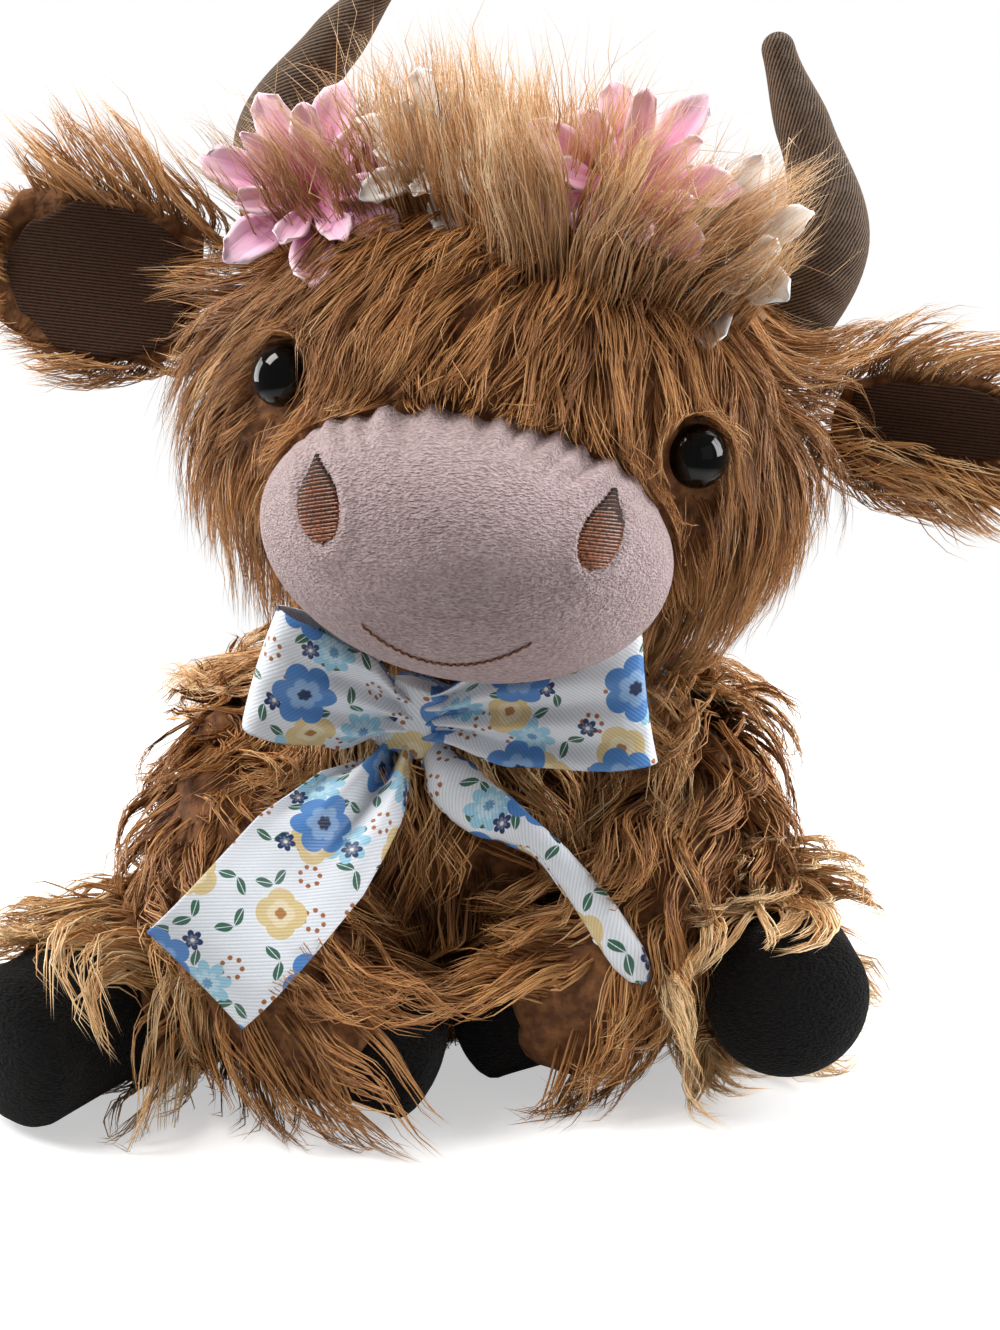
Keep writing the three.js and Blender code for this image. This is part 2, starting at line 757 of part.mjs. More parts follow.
function mouthOutline() {
  const count = 8;
  const line = (drop) =>
    Array.from({ length: count + 1 }, (_, i) => {
      const share = (2 * i) / count - 1;
      const sag = mouthSag * (1 - share * share);
      return new THREE.Vector2(half(mouthWidth) * share, muzzleForm.middle.z - mouthDrop - sag - drop);
    });
  return new THREE.Shape([...line(threadWidth), ...line(0).reverse()]);
}

for (const [word, side] of sides)
  addPiece(head, "nostril_" + word, stitched(nostrilOutline(side)), materials.thread);
addPiece(head, "mouth", stitched(mouthOutline()), materials.thread);

// Ears: a furred leaf with a round root, cupped in front, and a twill lining in the cup.
const leafShares = [
  [0, 0.42],
  [0.22, 0.8],
  [0.5, 1],
  [0.78, 0.9],
  [1, 0.4],
];
const leafStations = [0.06, 0.2, 0.4, 0.6, 0.8, 0.94];

// A leaf that points along X: its height follows leafShares and its thickness a half circle.
function leafSolid(length, height, thickness, start = 0) {
  const rings = leafStations.map((share) => {
    const thick = half(thickness) * Math.sqrt(1 - (2 * share - 1) ** 2);
    const middle = at(start + length * share, 0, 0);
    return oval(middle, at(0, thick, 0), at(0, 0, half(height) * along(leafShares, share)), 12);
  });
  return skinned(rings, at(start, 0, 0), at(start + length, 0, 0));
}

const cupShare = 0.86; // of the leaf's length and height
function addEar(word, side, width) {
  const rise = headForm.middle.z + earRise;
  const root = pointOn(headForm, side * earBearing, rise, half(earRoot) + earGap);
  const ear = new THREE.Group();
  ear.position.copy(root);
  head.add(ear);
  ear.updateMatrix();
  const intoEar = ear.matrix.clone().invert();
  const cupStart = half(earRoot) * cupShare;
  const flip = new THREE.Matrix4().makeRotationZ(side > 0 ? 0 : Math.PI);
  const leaf = moved(leafSolid(earLength, width, earThickness), flip);
  const front = new THREE.Matrix4().makeTranslation(0, -half(earThickness), 0);
  const cup = (grow) => {
    const size = (whole) => whole * cupShare + 2 * grow;
    const solid = leafSolid(size(earLength), size(width), 2 * (earHollow + grow), cupStart - grow);
    return moved(moved(solid, flip), front);
  };
  const lining = cup(-seamGap).subtract(cup(-seamGap - twill)).intersect(leaf);
  const headBlock = moved(headRoom, intoEar);
  const flops = [-earFlopUp, 0, earFlopDown];
  const offHead = (solid) => clearOf(solid, headBlock, origin, at(0, side, 0), flops);
  const gather = ballSolid(roundForm(origin, half(earRoot)), 0, 12, 8);
  addPiece(ear, "ear_" + word, offHead(leaf.add(gather).subtract(cup(0))), materials.fur);
  addPiece(ear, "ear_lining_" + word, lining, materials.lining);
}
addEar("left", 1, foldedEarWidth);
addEar("right", -1, earWidth);

// Horns: curved twill cones over filling, sewn to the crown.
const hornShares = [
  [0, 1],
  [0.4, 0.96],
  [0.75, 0.62],
  [1, hornTip / hornBase],
];
const bowShare = 0.42; // of a horn's height, where it bulges most
for (const [word, side] of sides) {
  const rim = headCrown * Math.sqrt(1 - (hornSpacing / headWidth) ** 2);
  const base = headForm.middle.clone();
  base.add(at(half(side * hornSpacing), hornBack, rim - hornSink));
  const curve = new THREE.CatmullRomCurve3([
    base,
    base.clone().add(at(side * hornBow, 0, bowShare * hornHeight)),
    base.clone().add(at(-side * hornLean, 0, hornHeight)),
  ]);
  const horn = (grow) => limbSolid(curve, hornBase, hornShares, { grow, rootRound: 0, around: 10 });
  const shell = horn(0).subtract(horn(-twill));
  addPiece(head, "horn_" + word, shell.subtract(headRoom), materials.twill);
  addPiece(head, "horn_filling_" + word, horn(-twill - seamGap).subtract(headRoom), materials.fibre);
}

// Crown: flowers with pointed petals on a cord that runs over the head before the horns.
// A petal's edge, as shares of the angle to the next petal and of the petal's length.
const petalShares = [
  [0, 1],
  [0.3, 0.72],
  [0.5, 0.36],
  [0.7, 0.72],
];
function flowerSolid(count) {
  const slope = Math.tan(rad(petalRise));
  const edge = (lift) =>
    Array.from({ length: count }, (_, i) => i).flatMap((i) =>
      petalShares.map(([turn, far]) => {
        const angle = (2 * Math.PI * (i + turn)) / count;
        const radius = far * petalLength;
        return at(radius * Math.cos(angle), radius * Math.sin(angle), radius * slope + lift);
      }),
    );
  const star = skinned([edge(0), edge(petalThickness)], origin, at(0, 0, petalThickness));
  return star.add(solidOf(new THREE.SphereGeometry(half(flowerHeart), 8, 6)));
}

const crownShare = Math.sqrt(1 - (crownAhead / half(headDepth)) ** 2);
const crownPoint = (degrees, out, ahead) => {
  const turn = rad(degrees);
  const across = half(headWidth) * crownShare + out;
  const up = headCrown * crownShare + out;
  const point = at(across * Math.sin(turn), -crownAhead - ahead, up * Math.cos(turn));
  return point.add(headForm.middle);
};
const cordSteps = 8;
const cordCurve = new THREE.CatmullRomCurve3(
  Array.from({ length: cordSteps + 1 }, (_, i) =>
    crownPoint(crownArc * ((2 * i) / cordSteps - 1), half(crownCord), 0),
  ),
);
const cordSolid = (grow) =>
  limbSolid(cordCurve, crownCord, evenShares, {
    grow,
    around: 6,
    steps: 12,
    rootRound: 0,
    tipRound: 0,
    facing: at(0, 1, 0),
  });

// Each flower: its name, its place on the cord as a share, petals, size share and material.
const flowerShares = [
  ["flower_pink_right", -0.84, 8, 1, materials.pinkPetal],
  ["flower_white_right", -0.36, 6, 0.8, materials.whitePetal],
  ["flower_pink_left", 0.3, 8, 1, materials.pinkPetal],
  ["flower_white_left", 0.92, 6, 0.9, materials.whitePetal],
];
const cordRoom = cordSolid(seamGap);
let flowersSoFar = cordRoom;
for (const [name, share, count, size, material] of flowerShares) {
  const place = crownPoint(share * crownArc, half(flowerHeart), flowerAhead);
  const euler = new THREE.Euler(rad(flowerTilt), 0, rad(share * half(crownArc)));
  const turn = new THREE.Quaternion().setFromEuler(euler);
  const matrix = new THREE.Matrix4().compose(place, turn, at(size, size, size));
  const solid = without(moved(flowerSolid(count), matrix), headRoom, flowersSoFar);
  addPiece(head, name, solid, material);
  flowersSoFar = flowersSoFar.add(solid);
}
addPiece(head, "crown_cord", cordSolid(0).subtract(headRoom), materials.cord);

// Bow: a knot on the band, two loops and two tails.
const knotForm = {
  middle: pointOn(torsoForm, bowBearing, bowHeight, bandThickness + half(knotDepth)),
  width: knotWidth,
  depth: knotDepth,
  up: half(knotHeight),
  down: half(knotHeight),
};
const knotRoom = ballSolid(knotForm, seamGap, 12, 8);
const knot = without(ballSolid(knotForm, 0, 12, 8), bandRoom, ballSolid(torsoForm, seamGap));
addPiece(cow, "bow_knot", knot, materials.ribbon);

// A loop leaves the knot, opens to the full width, folds over and returns behind itself.
// Its stations are shares of the loop's length, its gap and the ribbon's width.
const loopShares = [
  [0.1, -0.5, 0.36],
  [0.45, -1, 0.82],
  [0.9, -1.1, 0.98],
  [1, -0.4, 1],
  [0.88, 0.3, 0.98],
  [0.42, 0.2, 0.8],
  [0.1, 0, 0.36],
];
function loopSolid(direction) {
  const stations = loopShares.map(([out, gap, width]) => ({
    place: knotForm.middle
      .clone()
      .addScaledVector(direction, out * loopLength)
      .add(at(0, gap * loopGap, 0)),
    across: at(-direction.x * loopFlare, 0, 1),
    width: width * ribbonWidth,
  }));
  return strapSolid(stations).subtract(knotRoom);
}
const leftLoopWay = at(1, -0.2, 0.05);
const rightLoopWay = at(-0.79, -0.32, 0.28);
addPiece(cow, "bow_loop_left", loopSolid(leftLoopWay), materials.ribbon);
addPiece(cow, "bow_loop_right", loopSolid(rightLoopWay), materials.ribbon);

// The front of the torso and legs, seen from the front, for what hangs over them.
const drapeCount = 10;
const legBalls = (leg) =>
  Array.from({ length: drapeCount + 1 }, (_, i) => {
    const share = i / drapeCount;
    return roundForm(leg.curve.getPointAt(share), half(leg.width) * along(leg.girthShares, share));
  });
const drapeForms = [torsoForm, ...legs.flatMap(legBalls)];
const frontAt = (x, z) => Math.min(...drapeForms.map((form) => frontOf(form, x, z)));

// Each tail hangs taut over what is behind it. Its stations are, as shares of its length and
// of the ribbon's width, how far out and down it is, its width, and the way that this points.
const rightTailShares = [
  [-0.045, -0.08, 0.2, at(1, 0, 0)],
  [-0.14, -0.23, 0.6, at(1, 0, -0.6)],
  [-0.3, -0.4, 0.9, at(1, 0, -0.8)],
  [-0.47, -0.55, 1, at(0.9, 0, -1)],
  [-0.6, -0.65, 1, at(0.7, 0, -1)],
];
const leftTailShares = [
  [0.05, -0.09, 0.2, at(1, 0, 0)],
  [0.17, -0.22, 0.34, at(0.8, 0, 1)],
  [0.4, -0.31, 0.36, at(0.6, 0, 1)],
  [0.58, -0.48, 0.28, at(0.8, 0, 1)],
  [0.72, -0.65, 0.38, at(1, 0, 0.6)],
];
const tailSteps = 8;
const tautRounds = 60; // enough for a tail to pull straight over its hollows
const acrossShares = [-1, -0.5, 0, 0.5, 1]; // of half the width, where a tail is laid on

function tailSolid(shares) {
  const route = new THREE.CatmullRomCurve3(shares.map(([out, down]) => at(out, 0, down)));
  const ways = new THREE.CatmullRomCurve3(shares.map(([, , , across]) => across));
  const widths = new THREE.CatmullRomCurve3(shares.map(([, , width]) => at(width, 0, 0)));
  const stationAt = (i) => {
    const share = i / tailSteps;
    const place = knotForm.middle.clone().addScaledVector(route.getPoint(share), ribbonFall);
    return {
      place,
      across: ways.getPoint(share).normalize(),
      width: widths.getPoint(share).x * ribbonWidth,
    };
  };
  const stations = Array.from({ length: tailSteps + 1 }, (_, i) => stationAt(i));
  for (const { place, across, width } of stations.slice(1)) {
    const fronts = acrossShares.map((share) =>
      frontAt(place.x + share * half(width) * across.x, place.z + share * half(width) * across.z),
    );
    place.y = Math.min(place.y, ...fronts) - drapeRoom;
  }
  for (let round = 0; round < tautRounds; round++)
    for (let i = 1; i < tailSteps; i++)
      stations[i].place.y = Math.min(
        stations[i].place.y,
        half(stations[i - 1].place.y + stations[i + 1].place.y),
      );
  return strapSolid(stations).subtract(knotRoom);
}
addPiece(cow, "bow_tail_right", tailSolid(rightTailShares), materials.ribbon);
addPiece(cow, "bow_tail_left", tailSolid(leftTailShares), materials.ribbon);

export default cow;
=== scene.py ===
import json
import math

import bpy
import numpy as np
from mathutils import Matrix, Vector
from mathutils.bvhtree import BVHTree


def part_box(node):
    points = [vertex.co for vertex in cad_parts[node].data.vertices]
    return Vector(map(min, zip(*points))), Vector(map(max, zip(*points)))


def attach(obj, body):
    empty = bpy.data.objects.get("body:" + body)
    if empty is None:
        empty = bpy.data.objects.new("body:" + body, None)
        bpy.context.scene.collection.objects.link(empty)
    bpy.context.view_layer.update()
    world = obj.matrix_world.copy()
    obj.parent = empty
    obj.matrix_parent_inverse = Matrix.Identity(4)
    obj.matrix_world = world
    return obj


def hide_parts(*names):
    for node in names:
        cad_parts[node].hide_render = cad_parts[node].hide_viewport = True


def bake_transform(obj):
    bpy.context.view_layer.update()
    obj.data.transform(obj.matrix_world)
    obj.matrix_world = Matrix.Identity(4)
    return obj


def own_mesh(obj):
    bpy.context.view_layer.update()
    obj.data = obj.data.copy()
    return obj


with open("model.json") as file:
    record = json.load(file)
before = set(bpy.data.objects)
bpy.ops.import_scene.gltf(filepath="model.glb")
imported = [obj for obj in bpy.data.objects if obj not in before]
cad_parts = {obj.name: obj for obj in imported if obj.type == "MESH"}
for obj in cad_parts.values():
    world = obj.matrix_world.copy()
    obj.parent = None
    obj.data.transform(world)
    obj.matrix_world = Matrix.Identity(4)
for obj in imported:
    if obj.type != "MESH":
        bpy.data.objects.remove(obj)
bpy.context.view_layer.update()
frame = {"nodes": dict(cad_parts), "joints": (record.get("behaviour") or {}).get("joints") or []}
joints = {joint["name"]: joint for joint in frame["joints"]}
print("frame loaded")

# Camera and stage

cameraValues = {
    "azimuth": 7.0,
    "elevation": 15.0,
    "distance": 0.65,
    "target": (0.010, -0.040, 0.118),
    "lens": 56.84,
    "sensor": 36.0,
}


# A camera that looks at the target from its azimuth and elevation.
def makeCamera(values):
    turn, lift = math.radians(values["azimuth"]), math.radians(values["elevation"])
    back = Vector((math.sin(turn) * math.cos(lift), -math.cos(turn) * math.cos(lift), math.sin(lift)))
    data = bpy.data.cameras.new("camera")
    data.lens = values["lens"]
    data.sensor_width = values["sensor"]
    camera = bpy.data.objects.new("camera", data)
    camera.location = Vector(values["target"]) + back * values["distance"]
    camera.rotation_euler = (-back).to_track_quat("-Z", "Y").to_euler()
    bpy.context.scene.collection.objects.link(camera)
    bpy.context.scene.camera = camera


# Numbers and shapes


# Vectors divided by their lengths.
def unit(vectors):
    return vectors / np.maximum(np.linalg.norm(vectors, axis=-1, keepdims=True), 1e-9)


# A cubic ease from 0 at low to 1 at high.
def smooth(low, high, values):
    share = np.clip((values - low) / (high - low), 0, 1)
    return share * share * (3 - 2 * share)


# A table of [share, value] read at shares, eased between its entries.
def along(table, shares):
    places, values = np.array(table, float).T
    index = np.clip(np.searchsorted(places, shares, side="right") - 1, 0, len(places) - 2)
    ease = smooth(places[index], places[index + 1], shares)
    return values[index] + (values[index + 1] - values[index]) * ease


# A smooth line through points: cubic pieces with shared slopes, walked at an even pace.
def smoothPath(points, count):
    points = np.asarray(points, float)
    strides = np.sqrt(np.linalg.norm(np.diff(points, axis=0), axis=1))
    knots = np.concatenate([[0], np.cumsum(strides)])
    slopes = np.gradient(points, knots, axis=0)
    fine = np.linspace(0, knots[-1], 40 * len(points))
    index = np.clip(np.searchsorted(knots, fine, side="right") - 1, 0, len(points) - 2)
    span = (knots[index + 1] - knots[index])[:, None]
    t = (fine - knots[index])[:, None] / span
    dense = (2 * t**3 - 3 * t**2 + 1) * points[index] + (t**3 - 2 * t**2 + t) * span * slopes[index]
    dense += (3 * t**2 - 2 * t**3) * points[index + 1] + (t**3 - t**2) * span * slopes[index + 1]
    return evenly(dense, count)


# Places at even steps along a path: all of it, or the last stretch of it.
def evenly(path, count, stretch=None):
    steps = np.linalg.norm(np.diff(path, axis=0), axis=1)
    lengths = np.concatenate([[0], np.cumsum(steps)])
    start = 0 if stretch is None else lengths[-1] - stretch
    even = np.linspace(start, lengths[-1], count)
    return np.stack([np.interp(even, lengths, path[:, axis]) for axis in range(3)], axis=1)


# A wandering direction at each place, from sums of sine waves of the place.
def wander(points, size, seed):
    rng = np.random.default_rng(seed)
    waves = rng.normal(size=(3, 4, 3)) / size
    phases = rng.uniform(0, 2 * math.pi, (3, 4))
    parts = [np.sin(points @ waves[axis].T + phases[axis]).sum(axis=1) for axis in range(3)]
    return np.stack(parts, axis=1) / 2


# A screen colour as amounts of light, by the screen's own curve, with nothing see-through.
def linear(red, green, blue):
    channels = np.array([red, green, blue])
    channels = np.where(channels <= 0.04045, channels / 12.92, ((channels + 0.055) / 1.055) ** 2.4)
    return (*channels.tolist(), 1.0)


# A grey of a material.
def grey(value):
    return (value, value, value, 1.0)


# Meshes


# A mesh from whole arrays; uvs holds one pair for each corner, quads first.
def makeMesh(name, points, quads, triangles, uvs=None):
    quads = np.asarray(quads, np.int32).reshape(-1, 4)
    triangles = np.asarray(triangles, np.int32).reshape(-1, 3)
    corners = np.concatenate([quads.ravel(), triangles.ravel()])
    starts = np.concatenate([np.arange(len(quads)) * 4, quads.size + np.arange(len(triangles)) * 3])
    mesh = bpy.data.meshes.new(name)
    mesh.vertices.add(len(points))
    mesh.vertices.foreach_set("co", np.asarray(points, np.float32).ravel())
    mesh.loops.add(len(corners))
    mesh.loops.foreach_set("vertex_index", corners)
    mesh.polygons.add(len(starts))
    mesh.polygons.foreach_set("loop_start", starts.astype(np.int32))
    mesh.update(calc_edges=True)
    if uvs is not None:
        mesh.uv_layers.new(name="OFBake").data.foreach_set("uv", np.asarray(uvs, np.float32).ravel())
    return mesh


# A piece of the cow from its skin, which is points, quads, triangles and perhaps uvs. A stuffed
# piece is given a fill, which is not used; one that crosses a joint has no body here and is left unattached.
def addPiece(name, skin, body, slot, material, *stoodFor, smooth=True, fill=None):
    mesh = makeMesh(name, *skin)
    if smooth:
        mesh.shade_smooth()
    mesh.materials.append(material)
    piece = bpy.data.objects.new(name, mesh)
    bpy.context.scene.collection.objects.link(piece)
    if body is not None:
        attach(piece, body)
    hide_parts(*stoodFor)
    return piece


# Quads and triangles of a closed skin, turned round if its faces look inwards.
def turnedOut(points, quads, triangles):
    tris = np.concatenate([quads[:, [0, 1, 2]], quads[:, [0, 2, 3]], triangles])
    a, b, c = (points[tris[:, k]] for k in range(3))
    if (a * np.cross(b, c)).sum() < 0:
        quads, triangles = quads[:, ::-1], triangles[:, ::-1]
    return quads, triangles


# Quads between neighbouring rings of points, from the first ring to the last.
def ringQuads(count, around):
    ring, turn = np.meshgrid(np.arange(count - 1), np.arange(around), indexing="ij")
    after = (turn + 1) % around
    low, high = ring * around, (ring + 1) * around
    return np.stack([low + turn, low + after, high + after, high + turn], axis=-1).reshape(-1, 4)


# Rings of points, closed round, with a pole at each end: quads between rings, fans at the poles.
def ringSkin(rings, start, end):
    count, around = rings.shape[:2]
    points = np.concatenate([rings.reshape(-1, 3), [start, end]])
    turn = np.arange(around)
    after = (turn + 1) % around
    last = (count - 1) * around
    first = np.stack([np.full(around, count * around), after, turn], axis=1)
    final = np.stack([np.full(around, count * around + 1), last + turn, last + after], axis=1)
    return points, *turnedOut(points, ringQuads(count, around), np.concatenate([first, final]))


# A thick sheet over a grid of points: both faces and the rim between them, and each corner's
# place on the flat cloth as its pair.
def sheetSkin(grid, thickness, flat):
    rows, columns = grid.shape[:2]
    down = np.gradient(grid, axis=0)
    across = np.gradient(grid, axis=1)
    normals = unit(np.cross(down, across)) * thickness / 2
    points = np.concatenate([(grid + normals).reshape(-1, 3), (grid - normals).reshape(-1, 3)])
    index = np.arange(rows * columns).reshape(rows, columns)
    cells = [index[:-1, :-1], index[1:, :-1], index[1:, 1:], index[:-1, 1:]]
    face = np.stack(cells, axis=-1).reshape(-1, 4)
    edge = np.concatenate([index[:-1, 0], index[-1, :-1], index[:0:-1, -1], index[0, :0:-1]])
    after = np.roll(edge, -1)
    rim = np.stack([edge, after, after + rows * columns, edge + rows * columns], axis=1)
    quads = np.concatenate([face, face[:, ::-1] + rows * columns, rim[:, ::-1]])
    quads, none = turnedOut(points, quads, np.zeros((0, 3), int))
    pairs = np.concatenate([flat.reshape(-1, 2)] * 2)
    return points, quads, none, pairs[quads.ravel()]


# A round tube along each of several paths of equal count, tapering by its widths at each point.
def tubes(paths, widths, around=6):
    count, rings = paths.shape[:2]
    tangents = unit(np.gradient(paths, axis=1))
    reference = np.where(np.abs(tangents[:, :1, 2:3]) < 0.8, [[[0, 0, 1.0]]], [[[1.0, 0, 0]]])
    side = unit(np.cross(np.broadcast_to(reference, tangents.shape), tangents))
    up = np.cross(tangents, side)
    angles = np.arange(around) * 2 * math.pi / around
    circle = side[:, :, None] * np.cos(angles)[:, None] + up[:, :, None] * np.sin(angles)[:, None]
    points = paths[:, :, None] + circle * widths[..., None, None] / 2
    base = np.arange(count)[:, None, None] * rings * around
    quads = (base + ringQuads(rings, around)).reshape(-1, 4)
    fan = np.arange(1, around - 1)
    caps = np.stack([np.zeros_like(fan), fan + 1, fan], axis=1)
    ends = np.stack([np.zeros_like(fan), fan, fan + 1], axis=1) + (rings - 1) * around
    triangles = (base + np.concatenate([caps, ends])[None]).reshape(-1, 3)
    return points.reshape(-1, 3), quads, triangles


# Shader building


# Puts a constant, a socket or a number into a node's socket.
def put(socket, value):
    if isinstance(value, Number):
        value = value.socket
    if isinstance(value, bpy.types.NodeSocket):
        socket.id_data.links.new(value, socket)
    else:
        socket.default_value = value


# A node of a kind, with its settings, and with what goes into its sockets by name or index.
def addNode(tree, kind, values=None, **settings):
    node = tree.nodes.new("ShaderNode" + kind)
    for key, value in settings.items():
        setattr(node, key, value)
    for key, value in (values or {}).items():
        put(node.inputs[key], value)
    return node


# A number in a shader. A sum of numbers adds the Math nodes that it stands for.
class Number:
    def __init__(self, socket):
        self.socket = socket
        self.tree = socket.id_data

    def apply(self, operation, *others):
        node = addNode(self.tree, "Math", dict(enumerate([self, *others])), operation=operation)
        return Number(node.outputs[0])

    def __add__(self, other):
        return self.apply("ADD", other)

    def __sub__(self, other):
        return self.apply("SUBTRACT", other)

    def __rsub__(self, other):
        node = addNode(self.tree, "Math", {0: other, 1: self}, operation="SUBTRACT")
        return Number(node.outputs[0])

    def __mul__(self, other):
        return self.apply("MULTIPLY", other)

    def __truediv__(self, other):
        return self.apply("DIVIDE", other)

    def __pow__(self, other):
        return self.apply("POWER", other)

    def __lt__(self, other):
        return self.apply("LESS_THAN", other)

    def __gt__(self, other):
        return self.apply("GREATER_THAN", other)

    def __abs__(self):
        return self.apply("ABSOLUTE")


# Sockets by name, those of plain numbers ready for sums.
def named(sockets):
    return {socket.name: Number(socket) if socket.type == "VALUE" else socket for socket in sockets}


# The X, Y and Z of a vector.
def partsOf(vector):
    node = addNode(vector.id_data, "SeparateXYZ", {"Vector": vector})
    return [Number(socket) for socket in node.outputs]


# A Vector Math node's vector, from vectors or numbers.
def vectorMath(operation, *values):
    node = addNode(values[0].id_data, "VectorMath", dict(enumerate(values)), operation=operation)
    return node.outputs[0]


# A vector times a number.
def timesScale(place, scale):
    values = {"Vector": place, "Scale": scale}
    return addNode(place.id_data, "VectorMath", values, operation="SCALE").outputs[0]


# A place turned about an axis through the origin.
def rotated(place, angle, axis="Z_AXIS"):
    values = {"Vector": place, "Angle": angle}
    return addNode(place.id_data, "VectorRotate", values, rotation_type=axis).outputs[0]


# Noise at a place; more holds the node's other inputs.
def noiseAt(place, scale, detail, dimensions="3D", more=None):
    values = {"Vector": place, "Scale": scale, "Detail": detail, **(more or {})}
    return Number(addNode(place.id_data, "TexNoise", values, noise_dimensions=dimensions).outputs["Fac"])


# Noise drawn out along strips, with a scale of its own along them and across them.
def stripNoise(along, across, scales, detail):
    strip = addNode(along.tree, "CombineXYZ", {"X": along * scales[0], "Y": across * scales[1]})
    return noiseAt(strip.outputs[0], 1.0, detail, "2D")


# From 0 to 1 while a number goes from low to high.
def mapped(number, low, high, **settings):
    values = {"Value": number, "From Min": low, "From Max": high}
    return Number(addNode(number.tree, "MapRange", values, **settings).outputs["Result"])


# Two colours mixed by a share, or blended in another way.
def mixed(tree, share, first, second, blend="MIX"):
    node = addNode(tree, "Mix", data_type="RGBA", blend_type=blend)
    sockets = {socket.identifier: socket for socket in [*node.inputs, *node.outputs]}
    put(sockets["Factor_Float"], share)
    put(sockets["A_Color"], first)
    put(sockets["B_Color"], second)
    return sockets["Result_Color"]


# A colour from a number, by stops of [place, colour].
def ramp(number, stops):
    node = addNode(number.tree, "ValToRGB", {"Fac": number})
    while len(node.color_ramp.elements) < len(stops):
        node.color_ramp.elements.new(1.0)
    for element, (place, colour) in zip(node.color_ramp.elements, stops):
        element.position = place
        element.color = colour
    return node.outputs["Color"]


# A material with its shader, given roughness and other inputs by name.
def newMaterial(name, roughness, values=None):
    material = bpy.data.materials.new(name)
    material.use_nodes = True
    tree = material.node_tree
    shader = tree.nodes["Principled BSDF"]
    for key, value in {"Roughness": roughness, **(values or {})}.items():
        shader.inputs[key].default_value = value
    return material, tree, shader


# A node group, with its inputs by name and the sockets that its results go into.
def newGroup(name, inputs, outputs):
    group = bpy.data.node_groups.new(name, "ShaderNodeTree")
    for way, sockets in (("INPUT", inputs), ("OUTPUT", outputs)):
        for word, kind in sockets.items():
            group.interface.new_socket(word, in_out=way, socket_type="NodeSocket" + kind)
    given = group.nodes.new("NodeGroupInput")
    return group, named(given.outputs), group.nodes.new("NodeGroupOutput").inputs


# A group's results by name, for values of its inputs.
def useGroup(tree, group, values):
    node = tree.nodes.new("ShaderNodeGroup")
    node.node_tree = group
    for key, value in values.items():
        put(node.inputs[key], value)
    return named(node.outputs)


# Raises a shader's surface by a height from 0 to 1, over a distance in metres.
def addBump(shader, height, strength, distance):
    values = {"Height": height, "Strength": strength, "Distance": distance}
    put(shader.inputs["Normal"], addNode(height.tree, "Bump", values).outputs["Normal"])


def objectPlace(tree):
    return addNode(tree, "TexCoord").outputs["Object"]


def mapPlace(tree):
    return addNode(tree, "UVMap", uv_map="OFBake").outputs["UV"]


# A material mottled by noise: dark and light are each a value of the noise and the colour there.
# The noise may raise its surface too.
def mottled(name, roughness, scale, detail, dark, light, bump=None):
    material, tree, shader = newMaterial(name, roughness)
    noise = noiseAt(objectPlace(tree), scale, detail)
    stops = [(place, linear(*colour)) for place, colour in (dark, light)]
    put(shader.inputs["Base Color"], ramp(noise, stops))
    if bump is not None:
        addBump(shader, noise, *bump)
    return material


# Cloth and print


# Slanting lines of a twill: a sine wave along a direction, each line made uneven by noise.
def makeTwill():
    group, given, out = newGroup("twillLines", {"Place": "Vector", "Way": "Vector"}, {"Line": "Float"})
    inputs = {0: given["Place"], 1: given["Way"]}
    across = Number(addNode(group, "VectorMath", inputs, operation="DOT_PRODUCT").outputs["Value"])
    unevenness = noiseAt(given["Place"], 1.6, 2.0) * 2.2
    phase = across * (2 * math.pi) + unevenness
    put(out["Line"], phase.apply("SINE") * 0.5 + 0.5)
    return group


# Lengths of the print's sprigs, in mm: where a leaf's middle is and how far it reaches from there,
# half its width, its slant and half its vein, and the ring of dots and how far a dot reaches.
sprigValues = {
    "leafMiddle": 2.6,
    "leafReach": 2.5,
    "leafWidth": 1.5,
    "leafSlant": 0.5,
    "vein": 0.12,
    "dots": 7,
    "dotRing": 2.9,
    "dotSpacing": 2.6,
    "dotReach": (0.78, 0.6),
}
cellInputs = {"Place": "Vector", "Cell": "Float", "Turn": "Float", "Seed": "Float"}
# How far motifs stray in their cells, in cells, and half the width of their soft edges, in mm.
printJitter = 0.26
bloomEdge = 0.12
leafEdge = 0.1


# One motif to a cell: the place in it from a jittered middle, in mm, and two random numbers.
def makePrintCell():
    outputs = {"Spot": "Vector", "Chance": "Float", "Angle": "Float"}
    group, given, out = newGroup("printCell", cellInputs, outputs)
    scaled = vectorMath("DIVIDE", rotated(given["Place"], given["Turn"]), given["Cell"])
    moved = vectorMath("ADD", scaled, given["Seed"])
    cell = vectorMath("FLOOR", moved)
    inputs = {"Vector": vectorMath("MULTIPLY", cell, (1, 1, 0)), "W": given["Seed"]}
    noise = addNode(group, "TexWhiteNoise", inputs, noise_dimensions="4D")
    jitter = (printJitter, printJitter, 0)
    least = ((1 - printJitter) / 2, (1 - printJitter) / 2, 0)
    middle = vectorMath("MULTIPLY_ADD", noise.outputs["Color"], jitter, least)
    spot = vectorMath("SUBTRACT", vectorMath("SUBTRACT", moved, cell), middle)
    put(out["Spot"], timesScale(spot, given["Cell"]))
    put(out["Chance"], noise.outputs["Value"])
    put(out["Angle"], partsOf(noise.outputs["Color"])[2] * (2 * math.pi))
    return group


